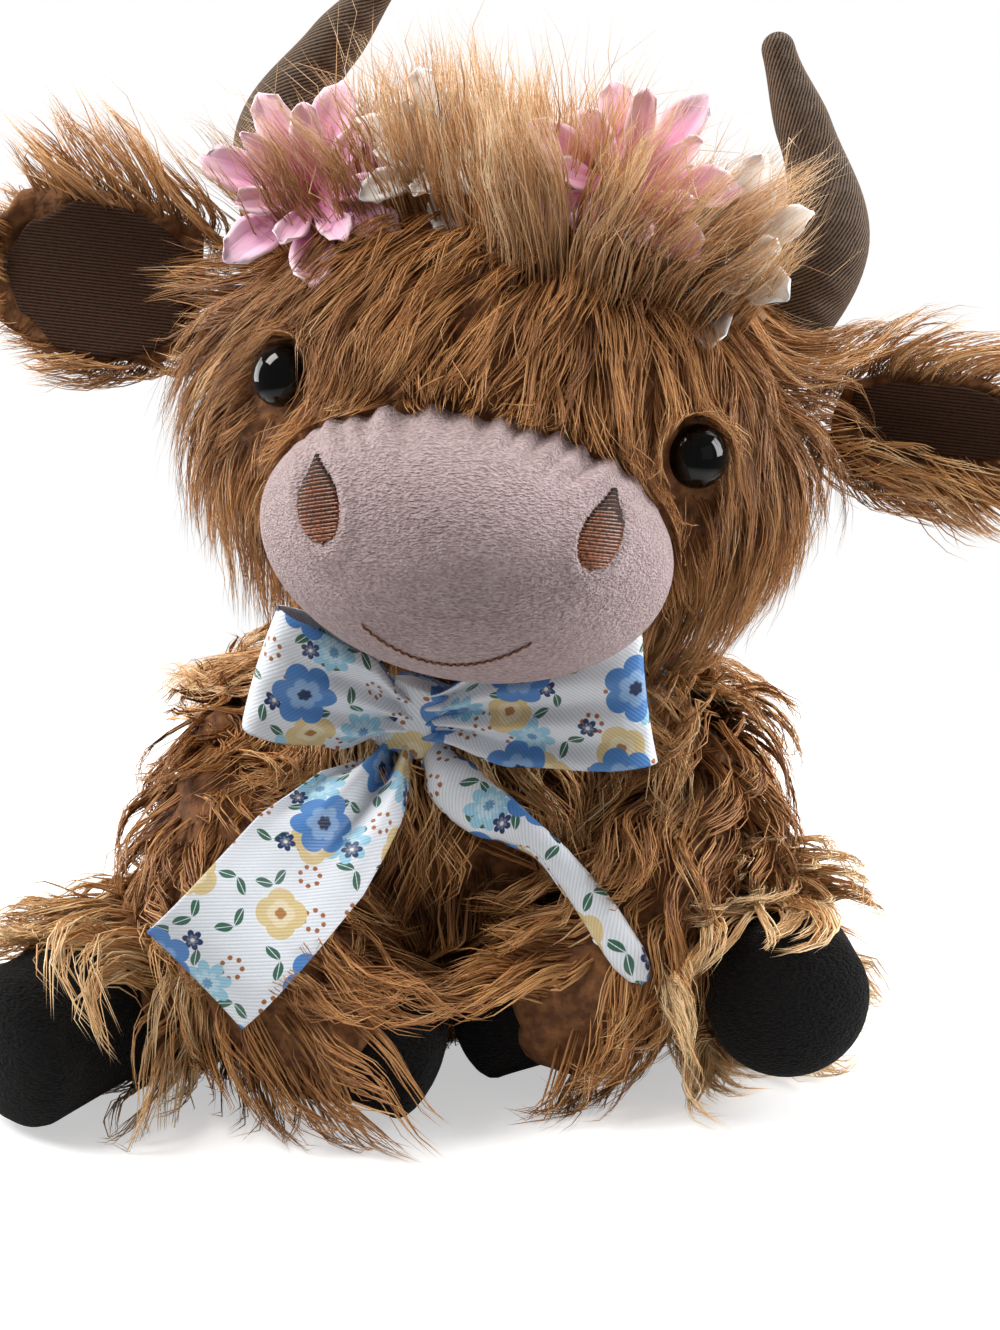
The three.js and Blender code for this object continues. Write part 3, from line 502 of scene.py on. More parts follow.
# A blossom: its rim is drawn in between petals. Core is 0 in its heart and 1 at its rim.
def makeBloom():
    inputs = {**cellInputs, "Size": "Float", "Petals": "Float", "Notch": "Float", "Odds": "Float"}
    group, given, out = newGroup("printBloom", inputs, {"Shape": "Float", "Core": "Float"})
    cell = useGroup(group, cellGroup, {key: given[key] for key in cellInputs})
    x, y = partsOf(cell["Spot"])[:2]
    reach = (x * x + y * y) ** 0.5
    angle = y.apply("ARCTAN2", x) + cell["Angle"]
    wave = abs((angle * given["Petals"] * 0.5).apply("COSINE"))
    rim = given["Size"] * (1.0 - (1.0 - wave**0.7) * given["Notch"])
    put(out["Shape"], mapped(rim - reach, -bloomEdge, bloomEdge) * (cell["Chance"] < given["Odds"]))
    put(out["Core"], reach / rim)
    return group


# Leaves in pairs, each pointed at both ends and split by a vein; and rings of small dots.
def makeSprig():
    values = sprigValues
    inputs = {**cellInputs, "Odds": "Float"}
    group, given, out = newGroup("printSprig", inputs, {"Leaves": "Float", "Dots": "Float"})
    cell = useGroup(group, cellGroup, {key: given[key] for key in cellInputs})
    x, y = partsOf(rotated(cell["Spot"], cell["Angle"]))[:2]
    far = (abs(x) - values["leafMiddle"]) / values["leafReach"]
    tall = abs(y - abs(x) * values["leafSlant"])
    leaf = mapped((1.0 - far * far) * values["leafWidth"] - tall, -leafEdge, leafEdge)
    leafy = cell["Chance"] < given["Odds"]
    put(out["Leaves"], leaf * (tall > values["vein"]) * leafy)
    turns = y.apply("ARCTAN2", x) * (values["dots"] / (2 * math.pi)) + 10.0
    off = (turns.apply("FRACT") - 0.5) * values["dotSpacing"]
    away = (x * x + y * y) ** 0.5 - values["dotRing"]
    near = (off * off + away * away) ** 0.5
    put(out["Dots"], mapped(near, *values["dotReach"]) * (1.0 - leafy))
    return group


twillGroup = makeTwill()
cellGroup = makePrintCell()
bloomGroup = makeBloom()
sprigGroup = makeSprig()

# Forms of the cow

# A ball's upper and lower halves differ in height, and lean shifts each level in proportion to its
# height. It lies in its own frame, which turn and offset place.
neck = np.array(joints["head_tilt"]["pos_m"])
headTilt = math.radians(10)
headTurn = np.array(
    [
        [math.cos(headTilt), 0, math.sin(headTilt)],
        [0, 1, 0],
        [-math.sin(headTilt), 0, math.cos(headTilt)],
    ]
)
still = {"turn": np.eye(3), "offset": np.zeros(3), "lean": np.zeros(2), "leanHeight": 1.0}
tilted = {**still, "turn": headTurn, "offset": neck}

torsoBall = {
    **still,
    "middle": (0, 0, 0.052),
    "width": 0.180,
    "depth": 0.146,
    "up": 0.086,
    "down": 0.066,
    "lean": np.array([-0.002, -0.014]),
    "leanHeight": 0.138,
}
headBall = {
    **tilted,
    "middle": (0, -0.007, 0.061),
    "width": 0.186,
    "depth": 0.152,
    "up": 0.074,
    "down": 0.068,
}
muzzleBall = {
    **tilted,
    "middle": (0.0015, -0.073, 0.039),
    "width": 0.118,
    "depth": 0.088,
    "up": 0.0365,
    "down": 0.0395,
}


# Points given in the head's frame, tilted about the neck; and the other way round.
def headPlaced(points):
    return np.asarray(points, float) @ headTurn.T + neck


def headLocal(points):
    return (points - neck) @ headTurn


# Points and outward directions of a ball, for directions from its middle.
def ballSurface(ball, directions, grow=0.0):
    halves = np.empty_like(directions)
    halves[:, 0] = ball["width"] / 2
    halves[:, 1] = ball["depth"] / 2
    halves[:, 2] = np.where(directions[:, 2] > 0, ball["up"], ball["down"])
    local = np.array(ball["middle"]) + directions * (halves + grow)
    local[:, :2] += ball["lean"] * (local[:, 2:] / ball["leanHeight"])
    return local @ ball["turn"].T + ball["offset"], unit(directions / halves) @ ball["turn"].T


# How far points lie outside a ball, and the way out, from the slope of its own equation.
def ballSense(ball, points):
    local = (points - ball["offset"]) @ ball["turn"]
    local[:, :2] -= ball["lean"] * (local[:, 2:] / ball["leanHeight"])
    local -= np.array(ball["middle"])
    halves = np.empty_like(local)
    halves[:, 0] = ball["width"] / 2
    halves[:, 1] = ball["depth"] / 2
    halves[:, 2] = np.where(local[:, 2] > 0, ball["up"], ball["down"])
    shares = local / halves
    radius = np.maximum(np.linalg.norm(shares, axis=1), 1e-6)
    slope = shares / halves / radius[:, None]
    steep = np.linalg.norm(slope, axis=1)
    return (radius - 1) / steep, (slope / steep[:, None]) @ ball["turn"].T


# A limb: a path with a radius at each point, the way along it and two directions across it.
def limbOf(path, radii, tangents, facing):
    side = unit(np.cross(tangents, [facing]))
    return {"path": path, "radii": radii, "tangents": tangents, "side": side, "up": np.cross(side, tangents)}


def makeLimb(points, width, girths, count=40, facing=(0, 0, 1.0)):
    path = smoothPath(points, count)
    radii = width / 2 * along(girths, np.linspace(0, 1, count))
    return limbOf(path, radii, unit(np.gradient(path, axis=0)), facing)


# The same limb with its start rounded off, so that pile grows on the end too.
def roundedLimb(limb, rings=7):
    turn = np.linspace(math.radians(82), 0, rings)[:-1, None]
    radius = limb["radii"][0]
    back = limb["path"][0] - limb["tangents"][0] * radius * np.sin(turn)
    longer = {"path": np.concatenate([back, limb["path"]])}
    longer["radii"] = np.concatenate([radius * np.cos(turn[:, 0]), limb["radii"]])
    for key in ("tangents", "side", "up"):
        longer[key] = np.concatenate([np.repeat(limb[key][:1], rings - 1, axis=0), limb[key]])
    return longer


# How far points lie outside a limb, and the way out, from its nearest ball.
def limbSense(limb, points):
    away = points[:, None] - limb["path"][None]
    distances = np.linalg.norm(away, axis=2) - limb["radii"]
    nearest = distances.argmin(axis=1)
    row = np.arange(len(points))
    return distances[row, nearest], unit(away[row, nearest])


# How far points lie outside a form of either kind, and the way out.
def sense(form, points):
    return limbSense(form, points) if "path" in form else ballSense(form, points)


# Which point of a limb's path each point is nearest to.
def nearestOn(limb, points):
    return np.linalg.norm(points[:, None] - limb["path"][None], axis=2).argmin(axis=1)


hingeAt = {name: np.array(joint["pos_m"]) for name, joint in joints.items()}


# The middle of a CAD node's box.
def middleOf(node):
    low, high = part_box(node)
    return np.array((low + high) / 2)


legValues = {
    "frontWidth": 0.056,
    "frontGirths": [[0, 0.78], [0.35, 1], [0.7, 0.98], [1, 0.8]],
    "frontSoles": {"left": (0.0095, -0.0835, 0.0169), "right": (-0.0055, -0.1125, 0.0169)},
    "kneeShare": 0.45,
    "frontBend": (0.020, -0.010, 0.002),
    "wristBend": (0.030, 0, 0.014),
    "hindWidth": 0.062,
    "hindGirths": [[0, 0.88], [0.4, 1], [0.8, 0.94], [1, 0.84]],
    "hindSoles": {"left": (0.101, -0.099, 0.037), "right": (-0.118, -0.134, 0.025)},
    "hindBend": {"left": 0.009, "right": 0.004},
}


# A leg's path runs from its hinge by the knee to its sole; a front leg bends at the wrist too.
def frontPath(word, side):
    root = hingeAt[f"front_leg_{word}_swing"]
    sole = np.array(legValues["frontSoles"][word])
    outward = np.array([side, 1, 1])
    knee = root + (sole - root) * legValues["kneeShare"] + np.array(legValues["frontBend"]) * outward
    return [root, knee, sole + np.array(legValues["wristBend"]) * outward, sole]


def hindPath(word):
    root = hingeAt[f"hind_leg_{word}_splay"]
    sole = np.array(legValues["hindSoles"][word])
    knee = root + (sole - root) * legValues["kneeShare"] + np.array([legValues["hindBend"][word], 0, 0])
    return [root, knee, sole]


sides = {"left": 1, "right": -1}
limbs = {}
for word, side in sides.items():
    for pair, path in (("front", frontPath(word, side)), ("hind", hindPath(word))):
        width, girths = legValues[pair + "Width"], legValues[pair + "Girths"]
        limbs[f"{pair}_leg_{word}"] = makeLimb(path, width, girths)

# Fur

# Guides grow from roots in the skin, bend to the way the pile is combed and lie on the form; each
# strand follows its nearest guide, so that strands gather into locks.


# Guide hairs, step by step: each heads partly on as before and partly the way of the comb, which
# wanders, hugs the form and curls towards the tip. A hair that comes too near a form is set out
# of it, and none goes under the floor.
def growGuides(roots, normals, lengths, combOf, own, others, values, rng):
    count, steps = len(roots), values["steps"]
    paths = np.empty((count, steps + 1, 3))
    ways = np.empty((count, steps + 1, 3))
    paths[:, 0], ways[:, 0] = roots, normals
    points, heading = roots.copy(), normals.copy()
    curl = values["curl"] * wander(roots, 0.03, 7)[:, 0] * rng.uniform(0.7, 1.3, count)
    for step in range(1, steps + 1):
        share = step / steps
        distance, outward = sense(own, points)
        comb = unit(combOf(points)) + wander(points, values["driftSize"], 13) * values["tousle"]
        comb = unit(comb - outward * (comb * outward).sum(1)[:, None] * values["hug"])
        turn = (curl * share**2.4)[:, None]
        comb = comb * np.cos(turn) + np.cross(outward, comb) * np.sin(turn)
        heading = unit(heading * values["stiff"] + comb * (1 - values["stiff"]))
        points = points + heading * (lengths / steps)[:, None]
        room = values["rise"] * share - values["root"] * (1 - share) ** 2
        for form, least in [(own, room), *others]:
            distance, outward = sense(form, points)
            points = points + outward * np.clip(least - distance, 0, None)[:, None]
        points[:, 2] = np.maximum(points[:, 2], values["floor"])
        paths[:, step] = points
        ways[:, step] = sense(own, points)[1]
    paths = wavy(paths, ways, lengths, values, rng)
    return gathered(paths, values), ways


# Waves across each guide, growing towards its tip. Neighbours wave nearly together.
def wavy(paths, ways, lengths, values, rng):
    count, rings = paths.shape[:2]
    share = np.linspace(0, 1, rings)
    tangents = unit(np.gradient(paths, axis=1))
    side = unit(np.cross(ways, tangents))
    field = wander(paths[:, 0], values["driftSize"], 17)
    size = values["wave"] * rng.uniform(*values["waveSpread"], count)
    start = 2.5 * math.pi * field[:, 0] + rng.normal(0, 0.3, count)
    pace = lengths / values["waveLength"] * rng.uniform(0.9, 1.1, count)
    angle = start[:, None] + 2 * math.pi * pace[:, None] * share
    reach = size[:, None] * share**0.6
    sway = (np.sin(angle) - np.sin(start)[:, None]) * reach
    lift = (np.cos(angle) - np.cos(start)[:, None]) * reach * values["waveLift"]
    return paths + side * sway[..., None] + ways * lift[..., None]


# Locks: every so many guides, one leads, and those nearest to it close in on it to their tips.
def gathered(paths, values):
    leaders = paths[:: values["perLock"]]
    away = np.linalg.norm(paths[:, None, 0] - leaders[None, :, 0], axis=2)
    lead = leaders[away.argmin(axis=1)]
    share = np.linspace(0, 1, paths.shape[1])
    pull = values["gather"] * share ** values["gatherPower"]
    return paths + (lead - paths) * pull[None, :, None]


# Strands between guides: each runs beside its nearest guide, some of the way to its end, and draws
# in to it towards the tip. Each strays a little from there, and loose ones stray the most.
def growStrands(roots, guides, ways, tones, values, rng):
    count, rings = len(roots), values["rings"]
    steps = guides.shape[1] - 1
    distances = np.linalg.norm(roots[:, None] - guides[None, :, 0], axis=2)
    distances *= rng.uniform(0.75, 1.25, distances.shape)
    lock = distances.argmin(axis=1)
    reach = rng.uniform(values["shortest"], 1, count)
    share = np.linspace(0, 1, rings)
    place = share[None] * reach[:, None] * steps
    low = np.minimum(place.astype(int), steps - 1)
    part = (place - low)[..., None]
    row = lock[:, None]
    paths = guides[row, low] * (1 - part) + guides[row, low + 1] * part
    ups = ways[row, low]
    loose = rng.random(count) < values["loose"]
    clump = values["clump"] * np.where(loose, values["looseClump"], 1)[:, None, None]
    spread = 1 - clump * share[None, :, None] ** values["clumpPower"]
    paths = paths + (roots - guides[lock, 0])[:, None] * spread
    stray = values["stray"] * rng.exponential(1, count).clip(0, 4) * np.where(loose, values["looseStray"], 1)
    start = rng.uniform(0, 2 * math.pi, count)
    angle = start[:, None] + rng.uniform(1, 4, count)[:, None] * share
    tangents = unit(np.gradient(paths, axis=1))
    side = unit(np.cross(ups, tangents))
    away = side * np.cos(angle)[..., None] + ups * np.abs(np.sin(angle))[..., None]
    paths = paths + away * (stray[:, None] * share)[..., None]
    tone = tones[lock] + rng.normal(0, values["toneSpread"], count)
    return paths, ups, tone.clip(0.01, 0.99)


# Tones are held in so many rows of the map that a strand's material reads.
toneRows = 64


# Closed strands of three sides: flat rings along each path, a cap at the root and a point at the
# tip. A corner's pair is its share of the way to the tip, and the strand's row of tone.
def strandSkin(paths, ups, tones, values, rng):
    count, rings = paths.shape[:2]
    share = np.linspace(0, 1, rings)
    tangents = unit(np.gradient(paths, axis=1))
    side = unit(np.cross(ups, tangents))
    up = np.cross(tangents, side)
    wide = values["width"] * rng.uniform(*values["widthSpread"], count)[:, None]
    wide = wide * (1 - share[:-1] ** 2.2 * values["thinning"])
    angles = np.array([math.pi / 2, math.pi * 7 / 6, math.pi * 11 / 6])
    ring = side[:, :-1, None] * np.cos(angles)[:, None] * wide[..., None, None] / 2
    ring = ring + up[:, :-1, None] * np.sin(angles)[:, None] * wide[..., None, None] / 2 * values["flat"]
    body = (paths[:, :-1, None] + ring).reshape(count, -1, 3)
    points = np.concatenate([body, paths[:, -1:]], axis=1).reshape(-1, 3)
    each = (rings - 1) * 3 + 1
    j, k = np.meshgrid(np.arange(rings - 2), np.arange(3), indexing="ij")
    quads = ringQuads(rings - 1, 3)
    last = (rings - 2) * 3
    triangles = np.array([[2, 1, 0]] + [[last + k, last + (k + 1) % 3, each - 1] for k in range(3)])
    base = np.arange(count)[:, None, None] * each
    row = (tones * toneRows).astype(int)
    quadShare = np.stack([share[j], share[j], share[j + 1], share[j + 1]], axis=-1).reshape(-1, 4)
    quadAcross = np.stack([k, k + 1, k + 1, k], axis=-1).reshape(-1, 4) / 3
    triShare = np.array([[0, 0, 0]] + [[share[-2], share[-2], 1]] * 3)
    triAcross = np.array([[1, 0.5, 0]] + [[k / 3, (k + 1) / 3, (k + 0.5) / 3] for k in range(3)])
    uvs = []
    for shares, across in ((quadShare, quadAcross), (triShare, triAcross)):
        pair = np.empty((count, *shares.shape, 2))
        pair[..., 0] = shares
        pair[..., 1] = (row[:, None, None] + 0.05 + 0.9 * across) / toneRows
        uvs.append(pair.reshape(-1, 2))
    return points, base + quads, base + triangles, np.concatenate(uvs)


# Turns round a form for roots: by the golden angle for guides, at random for strands.
def rootAngles(index, rng):
    if rng is None:
        return index * math.pi * (3 - math.sqrt(5))
    return rng.uniform(0, 2 * math.pi, len(index))


# Points of a ball or limb, evenly spread for guides or at random for strands.
def ballRoots(ball, count, depth, rng=None):
    index = np.arange(count) + 0.5
    rise = 1 - 2 * index / count if rng is None else rng.uniform(-1, 1, count)
    angle = rootAngles(index, rng)
    flat = np.sqrt(1 - rise**2)
    return ballSurface(ball, np.stack([flat * np.cos(angle), flat * np.sin(angle), rise], axis=1), -depth)


def limbRoots(limb, count, depth, rng=None, start=0.0, end=1.0):
    index = np.arange(count) + 0.5
    share = (index / count if rng is None else rng.uniform(0, 1, count)) ** 1.3
    angle = rootAngles(index, rng)
    place = (start + (end - start) * share) * (len(limb["path"]) - 1)
    low = np.minimum(place.astype(int), len(limb["path"]) - 2)
    part = place - low

    def at(key):
        return (limb[key][low].T * (1 - part) + limb[key][low + 1].T * part).T

    normals = unit(at("side") * np.cos(angle)[:, None] + at("up") * np.sin(angle)[:, None])
    return at("path") + normals * (at("radii") - depth)[:, None], normals


# Roots on a form of either kind; a limb's lie within a span of its path.
def rootsOf(form, count, depth, rng=None, span=(0, 1)):
    if "path" in form:
        return limbRoots(form, count, depth, rng, *span)
    return ballRoots(form, count, depth, rng)


furMaterials = {}


# One furred piece: guides all over the form, strands where keep allows, cleared of what they meet.
def growFur(name, form, body, values, combOf, keep, others=(), finish=None, material="fur"):
    rng = np.random.default_rng(values["seed"])
    span = values.get("span", (0, 1))
    guideRoots, normals = rootsOf(form, values["locks"], values["root"], None, span)
    wanted = keep(guideRoots, normals, values["margin"])
    guideRoots, normals = guideRoots[wanted], normals[wanted]
    lengths = values["length"] * rng.uniform(*values["lengthSpread"], len(guideRoots))
    if "lengthOf" in values:
        lengths = lengths * values["lengthOf"](guideRoots)
    guides, ways = growGuides(guideRoots, normals, lengths, combOf, form, list(others), values, rng)
    tones = values["tone"] + rng.normal(0, values["lockSpread"], len(guideRoots))
    tones = tones + values["drift"] * wander(guideRoots, 0.03, values["seed"])[:, 0]
    if "toneOf" in values:
        tones = tones + values["toneOf"](guideRoots)
    found = []
    while sum(map(len, found)) < values["strands"]:
        roots, normals = rootsOf(form, values["strands"] * 4, values["root"], rng, span)
        found.append(roots[keep(roots, normals, 0.0)])
    roots = np.concatenate(found)[: values["strands"]]
    paths, ups, tone = growStrands(roots, guides, ways, tones, values, rng)
    flat = paths.reshape(-1, 3)
    for other, least in others:
        distance, outward = sense(other, flat)
        flat = flat + outward * np.clip(least - distance, 0, 0.02)[:, None]
    if finish is not None:
        flat = finish(flat)
    flat[:, 2] = np.maximum(flat[:, 2], values["floor"])
    paths = flat.reshape(paths.shape)
    addPiece(name, strandSkin(paths, ups, tone, values, rng), body, "long_pile", furMaterials[material])


# Obstacles for the pile: eyes stand proud of the face, horns and hooves out of their roots.

eyeValues = {"spacing": 0.126, "height": 0.073, "radius": 0.00925, "bulge": 0.008, "sunk": 0.004}


# Where an eye sits: its rim's middle on the face, and the way it looks.
def eyePlace(side):
    x, z = side * eyeValues["spacing"] / 2, eyeValues["height"]
    ball = headBall
    level = 1 - (x / (ball["width"] / 2)) ** 2 - ((z - ball["middle"][2]) / ball["up"]) ** 2
    y = ball["middle"][1] - ball["depth"] / 2 * math.sqrt(level)
    away = np.array([x, y - ball["middle"][1], z - ball["middle"][2]])
    normal = unit(away / np.array([ball["width"] ** 2, ball["depth"] ** 2, (2 * ball["up"]) ** 2]))
    place = np.array([x, y, z]) - normal * eyeValues["sunk"]
    return headPlaced(place), headTurn @ normal


# A limb along a straight line, its radius changing evenly.
def straight(start, end, radius, endRadius, count=12):
    path = start + (end - start) * np.linspace(0, 1, count)[:, None]
    tangents = np.repeat(unit(end - start)[None], count, axis=0)
    return limbOf(path, np.linspace(radius, endRadius, count), tangents, (0.1, 0.2, 1.0))


# The room in front of an eye that the pile leaves clear: a cone that looks a little down.
def eyeRoom(place, way):
    return straight(place - way * 0.012, place + unit(way + [0, -0.8, 0.15]) * 0.040, 0.0098, 0.016)


eyePlaces = {word: eyePlace(side) for word, side in sides.items()}
eyeRooms = [eyeRoom(*placed) for placed in eyePlaces.values()]

hornValues = {
    "base": (0.072, 0.0065, 0.0938),
    "bow": 0.014,
    "bowShare": 0.42,
    "lean": 0.012,
    "height": 0.092,
    "width": 0.027,
    "girths": [[0, 1], [0.4, 0.96], [0.75, 0.62], [1, 0.37]],
}


# A horn's path: out from its base, then in again towards its tip.
def hornPath(side):
    base = np.array(hornValues["base"]) * [side, 1, 1]
    middle = base + [side * hornValues["bow"], 0, hornValues["bowShare"] * hornValues["height"]]
    tip = base + [-side * hornValues["lean"], 0, hornValues["height"]]
    return headPlaced([base, middle, tip])


horns = {
    word: makeLimb(hornPath(side), hornValues["width"], hornValues["girths"], 48, (0, 1.0, 0))
    for word, side in sides.items()
}

hoofValues = {
    "front": {"width": 0.033, "length": 0.026, "round": 0.4},
    "hind": {"width": 0.047, "length": 0.040, "round": 0.4},
}


# The stretch of a leg's path that its hoof covers.
def hoofLimb(leg, values):
    path = evenly(leg["path"], 12, values["length"])
    return limbOf(path, np.full(12, values["width"] / 2), unit(np.gradient(path, axis=0)), (0, 0, 1.0))


# The share of a leg's path where its hoof starts.
def cuffShare(leg, length):
    return 1 - length / np.linalg.norm(np.diff(leg["path"], axis=0), axis=1).sum()


hooves = {
    f"{pair}_hoof_{word}": hoofLimb(limbs[f"{pair}_leg_{word}"], hoofValues[pair])
    for pair in ("front", "hind")
    for word in sides
}

# Materials

# Colours of the pile from its tone, and how much darker it is towards the root: a painted shade for the
# shadow down among the hairs.
furColours = {
    "tones": [
        (0.0, linear(0.32, 0.185, 0.09)),
        (0.22, linear(0.53, 0.335, 0.175)),
        (0.5, linear(0.74, 0.515, 0.295)),
        (0.75, linear(0.88, 0.67, 0.43)),
        (1.0, linear(0.98, 0.86, 0.67)),
    ],
    "rootDepth": 0.58,
    "tipLift": 0.2,
    "streak": 0.55,
    "streakScales": (2.2, toneRows * 5),
    "roughness": 0.48,
}


# The pair holds a strand's share of its length, and its tone by rows; within a row it runs across
# the strand, where fine streaks stand for single hairs.
def makeFurMaterial(name, values):
    material, tree, shader = newMaterial(name, values["roughness"])
    share, tone = partsOf(mapPlace(tree))[:2]
    fine = stripNoise(share, tone, values["streakScales"], 1.0)
    lifted = tone + (share - 0.5) * values["tipLift"] + (fine - 0.5) * values["streak"]
    # Towards the root the colour is darkened: painted shade for the shadow deep in the pile.
    dark = values["rootDepth"]
    shade = ramp(share, [(0.0, grey(dark)), (0.12, grey(dark * 1.2)), (0.5, grey(1))])
    colour = mixed(tree, 1.0, ramp(lifted, values["tones"]), shade, "MULTIPLY")
    put(shader.inputs["Base Color"], colour)
    return material


furMaterials["fur"] = makeFurMaterial("longPile", furColours)
# The crown has been bleached paler towards its tips.
crownTones = [
    (0.0, linear(0.38, 0.22, 0.11)),
    (0.3, linear(0.68, 0.46, 0.27)),
    (0.6, linear(0.88, 0.69, 0.49)),
    (1.0, linear(0.99, 0.89, 0.74)),
]
furMaterials["crownFur"] = makeFurMaterial("crownPile", {**furColours, "tones": crownTones, "tipLift": 0.3})


# Backing under the pile, seen between locks.
backingDark, backingLight = (0.35, (0.36, 0.215, 0.11)), (0.65, (0.55, 0.365, 0.21))
skinMaterial = mottled("pileBacking", 0.9, 240.0, 4.0, backingDark, backingLight, (0.9, 0.002))

# Covers under the pile


# A ball's skin: directions over its levels and turns, grown by some depth.
def ballSkin(ball, grow, levels, around):
    turn = np.linspace(0, math.pi, levels + 2)[1:-1]
    angle = np.arange(around) * 2 * math.pi / around
    directions = np.empty((levels, around, 3))
    directions[..., 0] = np.sin(turn)[:, None] * np.cos(angle)
    directions[..., 1] = np.sin(turn)[:, None] * np.sin(angle)
    directions[..., 2] = np.cos(turn)[:, None]
    rings = ballSurface(ball, directions.reshape(-1, 3), grow)[0].reshape(levels, around, 3)
    poles = ballSurface(ball, np.array([[0, 0, 1.0], [0, 0, -1.0]]), grow)[0]
    return ringSkin(rings, *poles)


# A limb's skin: circles along its path, rounded past both ends by a share of their radius.
def limbSkin(limb, grow=0.0, around=32, startRound=0.6, endRound=0.6, bulge=None):
    angle = np.arange(around) * 2 * math.pi / around
    turns = np.linspace(0, math.pi / 2, 7)[:-1]
    path, radii = limb["path"], limb["radii"] + grow
    rises, falls = np.sin(turns[1:]), np.cos(turns[1:])
    before = path[0] - limb["tangents"][0] * (rises[::-1] * radii[0] * startRound)[:, None]
    beyond = path[-1] + limb["tangents"][-1] * (rises * radii[-1] * endRound)[:, None]
    centres = np.concatenate([before, path, beyond])
    sizes = np.concatenate([falls[::-1] * radii[0], radii, falls * radii[-1]])

    def held(key):
        ways = limb[key]
        return np.concatenate([np.repeat(ways[:1], 5, axis=0), ways, np.repeat(ways[-1:], 5, axis=0)])

    circle = held("side")[:, None] * np.cos(angle)[:, None] + held("up")[:, None] * np.sin(angle)[:, None]
    reach = np.repeat(sizes[:, None], around, axis=1)
    if bulge is not None:
        share = np.linspace(0, 1, len(centres))[:, None]
        reach = reach + bulge(share, angle[None])
    rings = centres[:, None] + circle * reach[..., None]
    start = path[0] - limb["tangents"][0] * radii[0] * startRound
    end = path[-1] + limb["tangents"][-1] * radii[-1] * endRound
    return ringSkin(rings, start, end)


skinValues = {
    "depth": 0.0045,
    "lump": 0.0012,
    "lumpSize": 0.0035,
    "torsoFill": 0.75,
    "headFill": 0.85,
    "legFill": 0.7,
    "tailFill": 0.6,
    "earFill": 0.4,
    "floor": 0.0006,
    "legFilling": (0.0172, 0.0150),
}


# The backing of some pile: a skin made a little lumpy and kept off the floor.
def addSkin(name, skin, body, fill, *stoodFor):
    points, quads, triangles = skin
    points = points + wander(points, skinValues["lumpSize"], 37) * skinValues["lump"]
    points[:, 2] = np.maximum(points[:, 2], skinValues["floor"])
    addPiece(name, (points, quads, triangles), body, "long_pile", skinMaterial, *stoodFor, fill=fill)


# The stretch of a leg before its hoof, as thick as its backing: its own radius less the pile,
# but never under what its filling needs.
def legCore(limb, cuff):
    last = int(round(cuff * (len(limb["path"]) - 1))) + 1
    core = {key: limb[key][: last + 1].copy() for key in ("path", "tangents", "side", "up")}
    filling = np.linspace(*skinValues["legFilling"], last + 1)
    core["radii"] = np.maximum(limb["radii"][: last + 1] - skinValues["depth"], filling)
    return core


depth = skinValues["depth"]
addSkin("torsoSkin", ballSkin(torsoBall, -depth, 70, 110), "torso", skinValues["torsoFill"], "torso_cover")
addSkin("headSkin", ballSkin(headBall, -depth, 70, 110), "head", skinValues["headFill"], "head_cover")
for name, limb in limbs.items():
    pair, _, word = name.split("_")
    core = legCore(limb, cuffShare(limb, hoofValues[pair]["length"]))
    title = pair + "Leg" + word.title() + "Skin"
    addSkin(title, limbSkin(core), f"{word}_{pair}_leg", skinValues["legFill"], name)

tailValues = {
    "reach": (0.014, 0.074),
    "height": 0.0135,
    "width": 0.014,
    "tuftWidth": 0.027,
    "tuftStart": 0.6,
    "girths": [[0, 0.5], [0.55, 0.5], [0.9, 1], [1, 0.75]],
    "depth": 0.004,
}
tailRoot = hingeAt["tail_lift"]
tailEnd = tailRoot + [*tailValues["reach"], 0]
tailEnd[2] = tailValues["height"]
tailBend = tailRoot + [0, tailValues["width"], -tailValues["width"] / 2]
tailPath = [tailRoot, tailBend, tailRoot + (tailEnd - tailRoot) * tailValues["tuftStart"], tailEnd]
tailLimb = makeLimb(tailPath, tailValues["tuftWidth"], tailValues["girths"])
tailSkin = limbSkin(tailLimb, -tailValues["depth"])
addSkin("tailSkin", tailSkin, "tail", skinValues["tailFill"], "tail", "tail_tuft")

earValues = {
    "length": 0.070,
    "heights": {"left": 0.042, "right": 0.060},
    "thickness": 0.020,
    "outline": [[0, 0.66], [0.22, 0.86], [0.5, 1], [0.78, 0.9], [1, 0.4]],
    "cup": 0.86,
    "hollow": 0.008,
    "spreads": {"left": 12, "right": 19},
    "linings": {"left": (-0.22, 0.82), "right": (-0.84, 0.80)},
    "liningEnds": (0.05, 0.90),
    "liningOutline": [[0, 0.8], [0.3, 1], [0.62, 0.97], [0.86, 0.66], [1, 0.16]],
}


# A flat ball in place of an ear, for its pile to grow on.
def earBall(word, side):
    return {
        **still,
        "turn": headTurn,
        "offset": hingeAt[f"ear_{word}_flop"],
        "middle": (side * earValues["length"] * 0.41, 0, 0),
        "width": earValues["length"] * 1.18,
        "depth": earValues["thickness"],
        "up": earValues["heights"][word] / 2,
        "down": earValues["heights"][word] / 2,
    }


# Points given in an ear's frame, at its root and turned like the head; and the other way round.
def earPlaced(word, points):
    return points @ headTurn.T + hingeAt[f"ear_{word}_flop"]


def earLocal(word, points):
    return (points - hingeAt[f"ear_{word}_flop"]) @ headTurn


